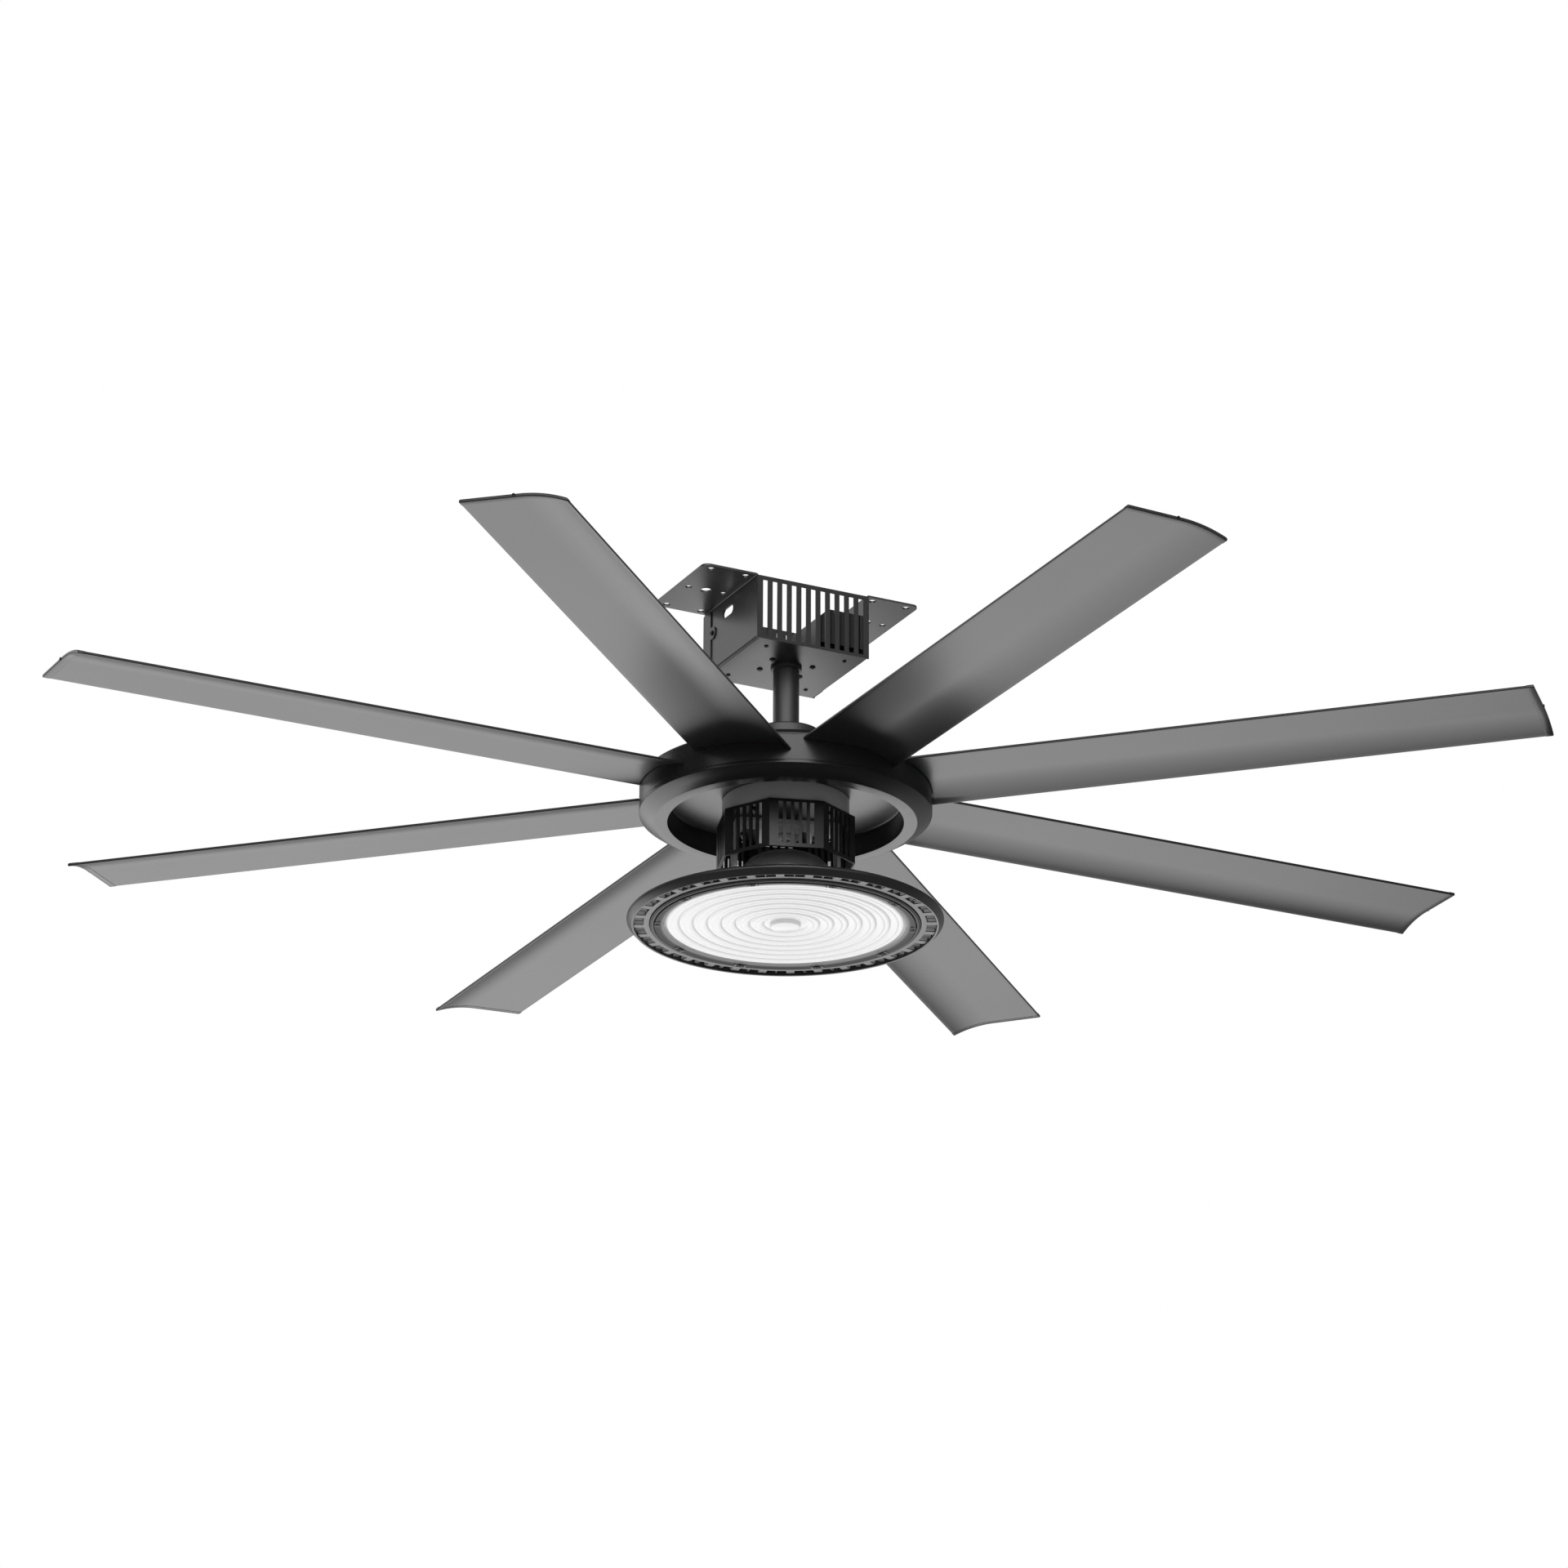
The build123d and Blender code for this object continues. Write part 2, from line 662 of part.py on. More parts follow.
with BuildPart() as stator_windings:
    with BuildSketch(Plane.XY.offset(stator_mid_z - winding_height / 2)) as coil_section:
        with PolarLocations((winding_inner_r + winding_outer_r) / 2, tooth_count):
            Rectangle(winding_outer_r - winding_inner_r, winding_width)
    extrude(amount=winding_height)
    with BuildSketch(Plane.XY.offset(core_z - winding_standoff)) as coil_window:
        with PolarLocations((winding_inner_r + winding_outer_r) / 2, tooth_count):
            window_length = winding_outer_r - winding_inner_r + 2 * overrun
            Rectangle(window_length, tooth_width + 2 * winding_standoff)
    extrude(amount=stator_height + 2 * winding_standoff, mode=Mode.SUBTRACT)
write_piece(stator_windings, "stator_windings")

# Sealed bearings: inner rings on the shaft, outer rings and shields that turn with the hub
bearing_inner_r = shaft_r + bearing_ring_wall
bearing_shield_r = bearing_r - bearing_ring_wall


def bearing_ring(inner_r, outer_r, base_z):
    """One plain bearing ring of full height."""
    with BuildPart() as ring:
        with BuildSketch(Plane.XY.offset(base_z)):
            Circle(outer_r)
            Circle(inner_r, mode=Mode.SUBTRACT)
        extrude(amount=bearing_height)
    return ring


def shielded_ring(base_z):
    """An outer bearing ring with the shields that reach in to the inner ring."""
    with BuildPart() as ring:
        with BuildSketch(Plane.XY.offset(base_z)):
            Circle(bearing_r)
            Circle(bearing_shield_r, mode=Mode.SUBTRACT)
        extrude(amount=bearing_height)
        with BuildSketch(Plane.XY.offset(base_z + bearing_shield_in)):
            Circle(bearing_shield_r)
            Circle(bearing_inner_r + running_gap, mode=Mode.SUBTRACT)
        extrude(amount=bearing_height - 2 * bearing_shield_in)
    return ring


for bearing_name, bearing_z in zip(("upper_bearing", "lower_bearing"), bearing_zs):
    write_piece(bearing_ring(shaft_r, bearing_inner_r, bearing_z), f"{bearing_name}_inner")
    write_piece(shielded_ring(bearing_z), f"{bearing_name}_outer")

# Motor bell with its magnets
bell_skirt_z = hub_top_z - bell_skirt
seat_r = bearing_r + seat_wall
lip_r = bearing_r - seat_lip_in

with BuildPart() as motor_bell:
    with BuildSketch(Plane.XZ) as bell_section:
        with BuildLine():
            Polyline(
                (lip_r, bell_top_z),
                (bell_r, bell_top_z),
                (bell_r, hub_top_z + bell_flange),
                (bell_flange_r, hub_top_z + bell_flange),
                (bell_flange_r, hub_top_z),
                (bell_r, hub_top_z),
                (bell_r, bell_skirt_z),
                (bell_inner_r, bell_skirt_z),
                (bell_inner_r, bell_top_z - bell_top),
                (seat_r, bell_top_z - bell_top),
                (seat_r, upper_bearing_z),
                (bearing_r, upper_bearing_z),
                (bearing_r, bell_top_z - seat_lip),
                (lip_r, bell_top_z - seat_lip),
                close=True,
            )
        make_face()
    revolve(axis=Axis.Z)
    fillet(motor_bell.edges().group_by(Axis.Z)[-1].sort_by(SortBy.LENGTH)[-1], bell_round)
    with BuildSketch(Plane.XY.offset(hub_top_z + bell_flange + overrun)) as bell_holes:
        with PolarLocations(cover_bolt_circle_r, cover_bolt_count):
            Circle(cover_bolt_r + bolt_clearance)
    extrude(amount=-bell_flange - 2 * overrun, mode=Mode.SUBTRACT)
write_piece(motor_bell, "motor_bell")

with BuildPart() as back_iron:
    with BuildSketch(Plane.XY.offset(stator_mid_z - magnet_height / 2)) as iron_section:
        Circle(bell_inner_r)
        Circle(magnet_outer_r, mode=Mode.SUBTRACT)
    extrude(amount=magnet_height)
write_piece(back_iron, "back_iron")

with BuildPart() as rotor_magnets:
    with BuildSketch(Plane.XY.offset(stator_mid_z - magnet_height / 2)) as magnet_section:
        magnet_step = 360 / magnet_count
        for magnet in range(magnet_count):
            sweep = magnet_step * magnet_share
            ring_sector(magnet_inner_r, magnet_outer_r, magnet_step * magnet, sweep)
    extrude(amount=magnet_height)
write_piece(rotor_magnets, "rotor_magnets")

# Blade places: a plane across the blade at a given radius, tilted by the pitch
blade_step = 360 / blade_count


def blade_plane(index, radius):
    """Section plane of one blade: sketch x runs along the chord and y up."""
    angle = radians(blade_step * index)
    pitch = radians(blade_pitch)
    chord_dir = (-sin(angle) * cos(pitch), cos(angle) * cos(pitch), -sin(pitch))
    origin = (radius * cos(angle), radius * sin(angle), blade_z)
    return Plane(origin=origin, x_dir=chord_dir, z_dir=(cos(angle), sin(angle), 0))


# Underside: a straight part from the leading edge, and an arc that leaves it smoothly
half_chord = blade_chord / 2
flat_slope = atan2(blade_flat_rise, half_chord + blade_flat_out)
curve_run = half_chord - blade_flat_out
curve_turn = flat_slope + atan2(blade_flat_rise, curve_run)
curve_r = hypot(curve_run, blade_flat_rise) / sin(curve_turn) / 2
blade_camber = blade_flat_rise + curve_r * (1 - cos(flat_slope))
blade_middle = blade_crown - blade_camber

# Topside: one arc over the crown
crown_rise = blade_crown - blade_edge
over_r = (half_chord**2 + crown_rise**2) / crown_rise / 2
cell_floor = blade_camber + blade_skin
cell_roof = blade_crown - over_r + sqrt((over_r - blade_skin) ** 2 - (holder_width / 2) ** 2)
tongue_height = (cell_floor + cell_roof) / 2
holder_thickness = cell_roof - cell_floor - 2 * seat_gap


def blade_top_plane(index, radius):
    """Plane on the blade's top face, at its middle, facing up."""
    section = blade_plane(index, radius)
    origin = section.from_local_coords((0, blade_crown, 0))
    return Plane(origin=origin, x_dir=section.z_dir, z_dir=section.y_dir)


def blade_face(grow):
    """Blade section with square edges, grown or shrunk all round."""
    edge = half_chord + grow
    flat_end = (blade_flat_out, blade_flat_rise - grow)
    with BuildLine() as outline:
        Line((-edge, -grow), flat_end)
        TangentArc(flat_end, (edge, -grow), tangent=(cos(flat_slope), sin(flat_slope)))
        Line((edge, -grow), (edge, blade_edge + grow))
        top = (0, blade_crown + grow)
        ThreePointArc((edge, blade_edge + grow), top, (-edge, blade_edge + grow))
        Line((-edge, blade_edge + grow), (-edge, -grow))
    return make_face(outline.edges())


def blade_outline(grow):
    """Blade section with rounded edges, grown all round for the end cap."""
    corners = [corner for corner in blade_face(grow).vertices() if abs(corner.X) > curve_run]
    fillet(corners, blade_nose)


blade_end_r = blade_tip_r - blade_cap
with BuildSketch() as blade_hollows:
    blade_face(-blade_skin)
    Rectangle(blade_chord - 2 * blade_cell_end, blade_chord, mode=Mode.INTERSECT)
    with GridLocations(2 * blade_web_out, 0, 2, 1):
        Rectangle(blade_web, blade_chord, mode=Mode.SUBTRACT)
root_start_r = sqrt(hub_r**2 - half_chord**2) - overrun

for index in range(blade_count):
    blade_name = f"blade_{index + 1}"
    with BuildPart() as blade:
        with BuildSketch(blade_plane(index, root_start_r)):
            blade_outline(0)
            add(blade_hollows.sketch, mode=Mode.SUBTRACT)
        extrude(amount=blade_end_r - root_start_r)
        with BuildSketch(Plane.XY.offset(blade_z - blade_chord)):
            Circle(hub_r + seat_gap)
        extrude(amount=2 * blade_chord, mode=Mode.SUBTRACT)
        for out in blade_screw_outs:
            with BuildSketch(blade_top_plane(index, hub_r + out)):
                Circle(blade_screw_r + bolt_clearance)
            extrude(amount=-blade_middle / 2, mode=Mode.SUBTRACT)
    write_piece(blade, blade_name)

    with BuildPart() as blade_cap_piece:
        with BuildSketch(blade_plane(index, blade_end_r)):
            blade_outline(cap_lip)
        extrude(amount=blade_cap)
        with BuildSketch(blade_plane(index, blade_end_r)):
            with Locations((0, tongue_height)):
                Rectangle(holder_width, holder_thickness)
        extrude(amount=-cap_plug)
        with BuildSketch(blade_plane(index, blade_tip_r)):
            with Locations((0, tongue_height)):
                Circle(blade_screw_r + bolt_clearance)
        extrude(amount=-cap_screw_length - overrun, mode=Mode.SUBTRACT)
    write_piece(blade_cap_piece, f"blade_cap_{index + 1}")

# Blade holders: a flat pad under the top cover and a tongue inside each blade
pad_top_z = hub_top_z - hub_shell
pad_outer_r = hub_r - pad_in
pad_inner_r = pad_outer_r - pad_length
tongue_start_r = pad_outer_r - holder_thickness
pad_mid_r = (pad_inner_r + pad_outer_r) / 2


def tongue_face(index, radius, clearance):
    """Section of one holder's tongue, with a clearance all round."""
    with BuildSketch(blade_plane(index, radius)) as face:
        with Locations((0, tongue_height)):
            Rectangle(holder_width + 2 * clearance, holder_thickness + 2 * clearance)
    return face.sketch


with BuildPart() as blade_holders:
    for index in range(blade_count):
        angle = blade_step * index
        with BuildSketch(Plane.XY.offset(pad_top_z).rotated((0, 0, angle))):
            with Locations((pad_mid_r, 0)):
                Rectangle(pad_length, pad_width)
                with GridLocations(0, pad_screw_spread, 1, 2):
                    Circle(blade_screw_r + bolt_clearance, mode=Mode.SUBTRACT)
        extrude(amount=-pad_height)
        tongue = tongue_face(index, tongue_start_r, 0)
        extrude(tongue, amount=hub_r + holder_out - tongue_start_r)
        for out in blade_screw_outs:
            with BuildSketch(blade_top_plane(index, hub_r + out)):
                Circle(blade_screw_r + bolt_clearance)
            extrude(amount=-blade_middle, mode=Mode.SUBTRACT)
write_piece(blade_holders, "blade_holders")

# Hub ring: the drum's wall, notched for the eight holders
notch_length = hub_r - root_start_r + 2 * hub_ring_wall
with BuildPart() as hub_ring:
    with BuildSketch(Plane.XY.offset(ring_bottom_z)) as hub_ring_section:
        Circle(hub_r)
        Circle(hub_r - hub_ring_wall, mode=Mode.SUBTRACT)
    extrude(amount=hub_ring_height)
    for index in range(blade_count):
        notch = tongue_face(index, root_start_r - overrun, seat_gap)
        extrude(notch, amount=notch_length, mode=Mode.SUBTRACT)
write_piece(hub_ring, "hub_ring")

# Hub top cover: a dished plate open in the middle for the motor bell
dish_flat_r = hub_r - hub_dish_r
bell_hole_r = bell_r + seat_gap
quarter_share = sqrt(0.5)


def quarter_arc(centre, radius):
    """Quarter circle from the level of its centre up to the top."""
    middle = (centre[0] + radius * quarter_share, centre[1] + radius * quarter_share)
    ThreePointArc((centre[0] + radius, centre[1]), middle, (centre[0], centre[1] + radius))


with BuildPart() as hub_top_cover:
    with BuildSketch(Plane.XZ) as top_cover_section:
        with BuildLine() as top_cover_line:
            quarter_arc((dish_flat_r, ring_top_z), hub_dish_r)
            quarter_arc((dish_flat_r, ring_top_z), hub_dish_r - hub_shell)
            Line((hub_r - hub_shell, ring_top_z), (hub_r, ring_top_z))
            Line((dish_flat_r, hub_top_z - hub_shell), (bell_hole_r, hub_top_z - hub_shell))
            Line((bell_hole_r, hub_top_z - hub_shell), (bell_hole_r, hub_top_z))
            Line((bell_hole_r, hub_top_z), (dish_flat_r, hub_top_z))
        make_face()
    revolve(axis=Axis.Z)
    with BuildSketch(Plane.XY.offset(hub_top_z + overrun)) as top_cover_holes:
        with PolarLocations(cover_bolt_circle_r, cover_bolt_count):
            Circle(cover_bolt_r + bolt_clearance)
        for index in range(blade_count):
            with Locations(Rotation(0, 0, blade_step * index)):
                with Locations((pad_mid_r, 0)):
                    with GridLocations(0, pad_screw_spread, 1, 2):
                        Circle(blade_screw_r + bolt_clearance)
    extrude(amount=-hub_shell - 2 * overrun, mode=Mode.SUBTRACT)
    for index in range(blade_count):
        notch = tongue_face(index, pad_outer_r + overrun, seat_gap)
        extrude(notch, amount=notch_length, mode=Mode.SUBTRACT)
write_piece(hub_top_cover, "hub_top_cover")

# Hub bottom cover: chamfered skirt, flat annulus and the recess round the fixed flange
annulus_r = hub_r - hub_chamfer_in
recess_r = hub_r - recess_rim
lower_seat_top_z = lower_bearing_z + bearing_height
recess_floor_top_z = recess_z + hub_shell
chamfer_mid = (
    (hub_r + annulus_r) / 2 + hub_chamfer_bulge,
    (skirt_bottom_z + hub_bottom_z) / 2 - hub_chamfer_bulge,
)
shell_step = hub_shell * quarter_share
inner_chamfer_mid = (chamfer_mid[0] - shell_step, chamfer_mid[1] + shell_step)

with BuildPart() as hub_bottom_cover:
    with BuildSketch(Plane.XZ) as bottom_cover_section:
        with BuildLine() as bottom_cover_line:
            Line((hub_r, ring_bottom_z), (hub_r, skirt_bottom_z))
            ThreePointArc((hub_r, skirt_bottom_z), chamfer_mid, (annulus_r, hub_bottom_z))
            Polyline(
                (annulus_r, hub_bottom_z),
                (recess_r, hub_bottom_z),
                (recess_r, recess_z),
                (lip_r, recess_z),
                (lip_r, lower_bearing_z),
                (bearing_r, lower_bearing_z),
                (bearing_r, lower_seat_top_z),
                (seat_r, lower_seat_top_z),
                (seat_r, recess_floor_top_z),
                (recess_r + hub_shell, recess_floor_top_z),
                (recess_r + hub_shell, hub_bottom_z + hub_shell),
                (annulus_r - hub_shell / 2, hub_bottom_z + hub_shell),
            )
            ThreePointArc(
                (annulus_r - hub_shell / 2, hub_bottom_z + hub_shell),
                inner_chamfer_mid,
                (hub_r - hub_shell, skirt_bottom_z + hub_shell / 2),
            )
            Polyline(
                (hub_r - hub_shell, skirt_bottom_z + hub_shell / 2),
                (hub_r - hub_shell, ring_bottom_z),
                (hub_r, ring_bottom_z),
            )
        make_face()
    revolve(axis=Axis.Z)
    recess_rims = hub_bottom_cover.edges().filter_by(GeomType.CIRCLE)
    recess_rims = recess_rims.filter_by(lambda rim: abs(rim.radius - recess_r) < seat_gap)
    fillet(recess_rims.sort_by(Axis.Z)[-1], recess_round)
    with BuildSketch(Plane.XY.offset(recess_floor_top_z)) as bosses:
        with PolarLocations(cover_bolt_circle_r, cover_bolt_count):
            Circle(boss_r)
    extrude(amount=hub_top_z - hub_shell - recess_floor_top_z)
    with BuildSketch(Plane.XY.offset(recess_floor_top_z)) as boss_holes:
        with PolarLocations(cover_bolt_circle_r, cover_bolt_count):
            Circle(cover_bolt_r + bolt_clearance)
    extrude(amount=hub_top_z - recess_floor_top_z, mode=Mode.SUBTRACT)
write_piece(hub_bottom_cover, "hub_bottom_cover")

# Screws of the hub and the blades
bell_seat_z = hub_top_z + bell_flange
cover_bolt_length = bell_seat_z - recess_floor_top_z - hub_shell

with BuildPart() as hub_cover_bolts:
    for index in range(cover_bolt_count):
        angle = radians(360 / cover_bolt_count * index)
        spot = (cover_bolt_circle_r * cos(angle), cover_bolt_circle_r * sin(angle), bell_seat_z)
        head_plane = Plane(origin=spot, z_dir=(0, 0, 1))
        screw(head_plane, cover_bolt_head_r, cover_bolt_head, cover_bolt_r, cover_bolt_length)
write_piece(hub_cover_bolts, "hub_cover_bolts")

with BuildPart() as blade_screws:
    head_size = (blade_screw_head_r, blade_screw_head, blade_screw_r)
    for index in range(blade_count):
        turned = Plane.XY.offset(hub_top_z).rotated((0, 0, blade_step * index))
        for across in (-pad_screw_spread / 2, pad_screw_spread / 2):
            spot = turned.from_local_coords((pad_mid_r, across, 0))
            screw(Plane(origin=spot, z_dir=(0, 0, 1)), *head_size, blade_screw_length)
        for out in blade_screw_outs:
            screw(blade_top_plane(index, hub_r + out), *head_size, blade_screw_length)
        end = blade_plane(index, blade_tip_r)
        spot = end.from_local_coords((0, tongue_height, 0))
        screw(Plane(origin=spot, z_dir=end.z_dir), *head_size, cap_screw_length)
write_piece(blade_screws, "blade_screws")

# Fixed end flange on the shaft, just below the recess's ceiling
cage_screw_turn = cage_turn + 180 / cage_screw_count
with BuildPart() as end_flange:
    with BuildSketch(Plane.XY.offset(cage_top_z)) as end_flange_section:
        Circle(end_flange_r)
    extrude(amount=end_flange_height)
    fillet(end_flange.edges().group_by(Axis.Z)[-1], end_flange_wall / 2)
    with BuildSketch(Plane.XY.offset(cage_top_z)) as end_flange_hollow:
        Circle(end_flange_r - end_flange_wall)
        Circle(end_flange_hub_r, mode=Mode.SUBTRACT)
    extrude(amount=end_flange_height - end_flange_wall, mode=Mode.SUBTRACT)
    with BuildSketch(Plane.XY.offset(cage_top_z)) as end_flange_bosses:
        with PolarLocations(cage_screw_circle_r, cage_screw_count, start_angle=cage_screw_turn):
            Circle(lamp_screw_head_r + end_flange_wall)
    extrude(amount=end_flange_height - end_flange_wall)
    with BuildSketch(Plane.XY.offset(cage_top_z - overrun)) as end_flange_holes:
        Circle(shaft_r + bolt_clearance)
    extrude(amount=end_flange_height + 2 * overrun, mode=Mode.SUBTRACT)
    with BuildSketch(Plane.XY.offset(cage_top_z)) as end_flange_taps:
        with PolarLocations(cage_screw_circle_r, cage_screw_count, start_angle=cage_screw_turn):
            Circle(lamp_screw_r + bolt_clearance)
    extrude(amount=lamp_screw_length, mode=Mode.SUBTRACT)
write_piece(end_flange, "end_flange")

# Vent cage: an octagonal sheet box, open below, with slots in every side
cage_corner_r = cage_across / 2 / cos(pi / cage_sides)
cage_slot_height = cage_height - cage_slot_top_in - cage_slot_bottom_in
cage_slot_mid_z = cage_top_z - cage_slot_top_in - cage_slot_height / 2
cage_plane = Plane.XY.offset(cage_top_z).rotated((0, 0, cage_turn))
cage_corner_turn = 180 / cage_sides

with BuildPart() as vent_cage:
    with BuildSketch(cage_plane) as cage_outline:
        RegularPolygon(cage_corner_r, cage_sides, rotation=cage_corner_turn)
    extrude(amount=-cage_height)
    cage_mouth = vent_cage.faces().sort_by(Axis.Z)[0]
    offset(amount=-cage_sheet, openings=cage_mouth)
    for side in range(cage_sides // 2):
        side_turn = cage_turn + 360 / cage_sides * side
        side_plane = Plane(
            origin=(0, 0, cage_slot_mid_z),
            x_dir=(-sin(radians(side_turn)), cos(radians(side_turn)), 0),
            z_dir=(cos(radians(side_turn)), sin(radians(side_turn)), 0),
        )
        with BuildSketch(side_plane):
            with GridLocations(cage_slot_pitch, 0, cage_slot_count, 1):
                Rectangle(cage_slot_width, cage_slot_height)
        extrude(amount=cage_corner_r, both=True, mode=Mode.SUBTRACT)
    with BuildSketch(Plane.XY.offset(cage_top_z + overrun)) as cage_holes:
        Circle(shaft_r + bolt_clearance)
        with PolarLocations(cage_screw_circle_r, cage_screw_count, start_angle=cage_screw_turn):
            Circle(lamp_screw_r + bolt_clearance)
    extrude(amount=-cage_sheet - 2 * overrun, mode=Mode.SUBTRACT)
write_piece(vent_cage, "vent_cage")

# Lamp yoke: a bent strap hung on the shaft's end, with a foot at each side of the driver
yoke_plane = Plane.XZ.rotated((0, 0, cage_turn))
yoke_mid = yoke_sheet / 2
yoke_foot_x = yoke_reach + yoke_foot

with BuildPart() as lamp_yoke:
    with BuildSketch(yoke_plane) as yoke_fold:
        with BuildLine() as yoke_line:
            FilletPolyline(
                (-yoke_foot_x, lamp_seat_z + yoke_mid),
                (-yoke_reach, lamp_seat_z + yoke_mid),
                (-yoke_reach, yoke_top_z - yoke_mid),
                (yoke_reach, yoke_top_z - yoke_mid),
                (yoke_reach, lamp_seat_z + yoke_mid),
                (yoke_foot_x, lamp_seat_z + yoke_mid),
                radius=yoke_sheet,
            )
        trace(line_width=yoke_sheet)
    extrude(amount=yoke_width / 2, both=True)
    with BuildSketch(Plane.XY.offset(yoke_top_z + overrun)) as yoke_shaft_hole:
        Circle(shaft_r + bolt_clearance)
    extrude(amount=-yoke_sheet - 2 * overrun, mode=Mode.SUBTRACT)
    foot_screw_x = yoke_foot_x - yoke_foot / 2 + yoke_sheet / 2
    with BuildSketch(Plane.XY.offset(lamp_seat_z - overrun)) as foot_holes:
        with PolarLocations(foot_screw_x, 2, start_angle=cage_turn):
            Circle(lamp_screw_r + bolt_clearance)
    extrude(amount=yoke_sheet + 2 * overrun, mode=Mode.SUBTRACT)
write_piece(lamp_yoke, "lamp_yoke")


def around(radius, angle, height):
    """A point at a radius, a compass angle in degrees and a height."""
    return (radius * cos(radians(angle)), radius * sin(radians(angle)), height)


with BuildPart() as lamp_screws:
    screw_size = (lamp_screw_head_r, lamp_screw_head, lamp_screw_r, lamp_screw_length)
    for index in range(cage_screw_count):
        angle = cage_screw_turn + 360 / cage_screw_count * index
        spot = around(cage_screw_circle_r, angle, yoke_top_z)
        screw(Plane(origin=spot, z_dir=(0, 0, -1)), *screw_size)
    for angle in (cage_turn, cage_turn + 180):
        spot = around(foot_screw_x, angle, lamp_seat_z + yoke_sheet)
        screw(Plane(origin=spot, z_dir=(0, 0, 1)), *screw_size)
write_piece(lamp_screws, "lamp_screws")

with BuildPart() as shaft_nut:
    with BuildSketch(Plane.XY.offset(nut_top_z)) as washer_face:
        Circle(nut_washer_r)
    extrude(amount=-nut_washer)
    with BuildSketch(Plane.XY.offset(nut_top_z - nut_washer)) as nut_face:
        RegularPolygon(nut_across / 2, 6, major_radius=False)
    extrude(amount=-nut_height)
    with BuildSketch(Plane.XY.offset(nut_top_z + overrun)) as nut_bore:
        Circle(shaft_r + running_gap)
    extrude(amount=-nut_washer - nut_height - 2 * overrun, mode=Mode.SUBTRACT)
write_piece(shaft_nut, "shaft_nut")

# Lamp driver: a closed bell on the lamp's seat
driver_top_z = lamp_seat_z + driver_height

with BuildPart() as driver_housing:
    with BuildSketch(Plane.XY.offset(lamp_seat_z)) as driver_foot:
        Circle(driver_r)
    extrude(amount=driver_height)
    fillet(driver_housing.edges().group_by(Axis.Z)[-1], driver_round_r)
write_piece(driver_housing, "driver_housing")

# Fins of the heat sink: upright blades on rays from the axis, sloping down to the rim
fin_count = vent_count * fins_per_vent
fin_foot_z = lamp_plate_under_z + lamp_plate / 2
fin_run = vent_outer_r - fin_inner_r + fin_thickness

with BuildPart() as sink_fins:
    with BuildSketch(Plane.XZ) as fin_slope:
        with BuildLine():
            Polyline(
                (fin_inner_r, fin_foot_z),
                (fin_inner_r, lamp_seat_z + fin_inner_rise),
                (vent_outer_r, rim_top_z + fin_outer_rise),
                (vent_outer_r, fin_foot_z),
                close=True,
            )
        make_face()
    revolve(axis=Axis.Z)
    with BuildSketch(Plane.XY.offset(lamp_plate_under_z)) as fin_rays:
        with PolarLocations((fin_inner_r + vent_outer_r) / 2, fin_count, start_angle=vent_turn):
            Rectangle(fin_run, fin_thickness)
    extrude(amount=driver_top_z - lamp_plate_under_z, mode=Mode.INTERSECT)

# Heat sink: plate, seat, ribbed vent ring and bevelled rim in one casting with the fins
vent_step = 360 / vent_count
vent_mid_r = (vent_inner_r + vent_outer_r) / 2

with BuildPart() as lamp_heat_sink:
    with BuildSketch(Plane.XZ) as sink_section:
        with BuildLine() as sink_line:
            Polyline(
                (0, lamp_seat_z),
                (lamp_seat_r, lamp_seat_z),
                (lamp_seat_r, lamp_plate_top_z),
                (vent_inner_r, lamp_plate_top_z),
                (lamp_top_r, rim_top_z),
                (lamp_r, rim_top_z - lamp_rim_break / 2),
                (lamp_r, rim_bottom_z + lamp_rim_break),
                (lamp_bottom_r, rim_bottom_z),
                (lamp_wall_r, rim_bottom_z),
                (lamp_wall_r, lamp_plate_under_z),
                (0, lamp_plate_under_z),
                close=True,
            )
        make_face()
    revolve(axis=Axis.Z)
    with BuildSketch(Plane.XY.offset(rim_bottom_z)) as vent_windows:
        for vent in range(vent_count):
            middle = vent_turn + vent_step * (vent + 0.5)
            sweep = vent_step - degrees(vent_rib / vent_mid_r)
            ring_sector(vent_inner_r, vent_outer_r, middle, sweep)
    extrude(amount=lamp_seat_z - rim_bottom_z, mode=Mode.SUBTRACT)
    add(sink_fins.part)
    with BuildSketch(Plane.XY.offset(lamp_seat_z)) as foot_taps:
        with PolarLocations(foot_screw_x, 2, start_angle=cage_turn):
            Circle(lamp_screw_r + bolt_clearance)
    extrude(amount=-lamp_screw_length, mode=Mode.SUBTRACT)
    with BuildSketch(Plane.XY.offset(lamp_plate_under_z)) as retainer_taps:
        with PolarLocations(clip_circle_r, clip_count, start_angle=clip_turn):
            Circle(clip_screw_r + bolt_clearance)
    extrude(amount=lamp_plate - overrun, mode=Mode.SUBTRACT)
write_piece(lamp_heat_sink, "lamp_heat_sink")

# Lamp: light board, gasket, prismatic lens, retaining ring and its screws
led_under_z = lamp_plate_under_z - led_board_thickness
with BuildPart() as led_board:
    with BuildSketch(Plane.XY.offset(lamp_plate_under_z)) as board_face:
        Circle(led_board_r)
    extrude(amount=-led_board_thickness)
    with BuildSketch(Plane.XY.offset(led_under_z)) as led_faces:
        for led_circle_r, led_count in led_rings:
            with PolarLocations(led_circle_r, led_count):
                Rectangle(led_size, led_size)
    extrude(amount=-led_height)
write_piece(led_board, "led_board")

with BuildPart() as lens_gasket:
    with BuildSketch(Plane.XY.offset(lens_top_z)) as gasket_face:
        Circle(lens_r)
        Circle(lens_r - gasket_width, mode=Mode.SUBTRACT)
    extrude(amount=lamp_plate_under_z - lens_top_z)
write_piece(lens_gasket, "lens_gasket")

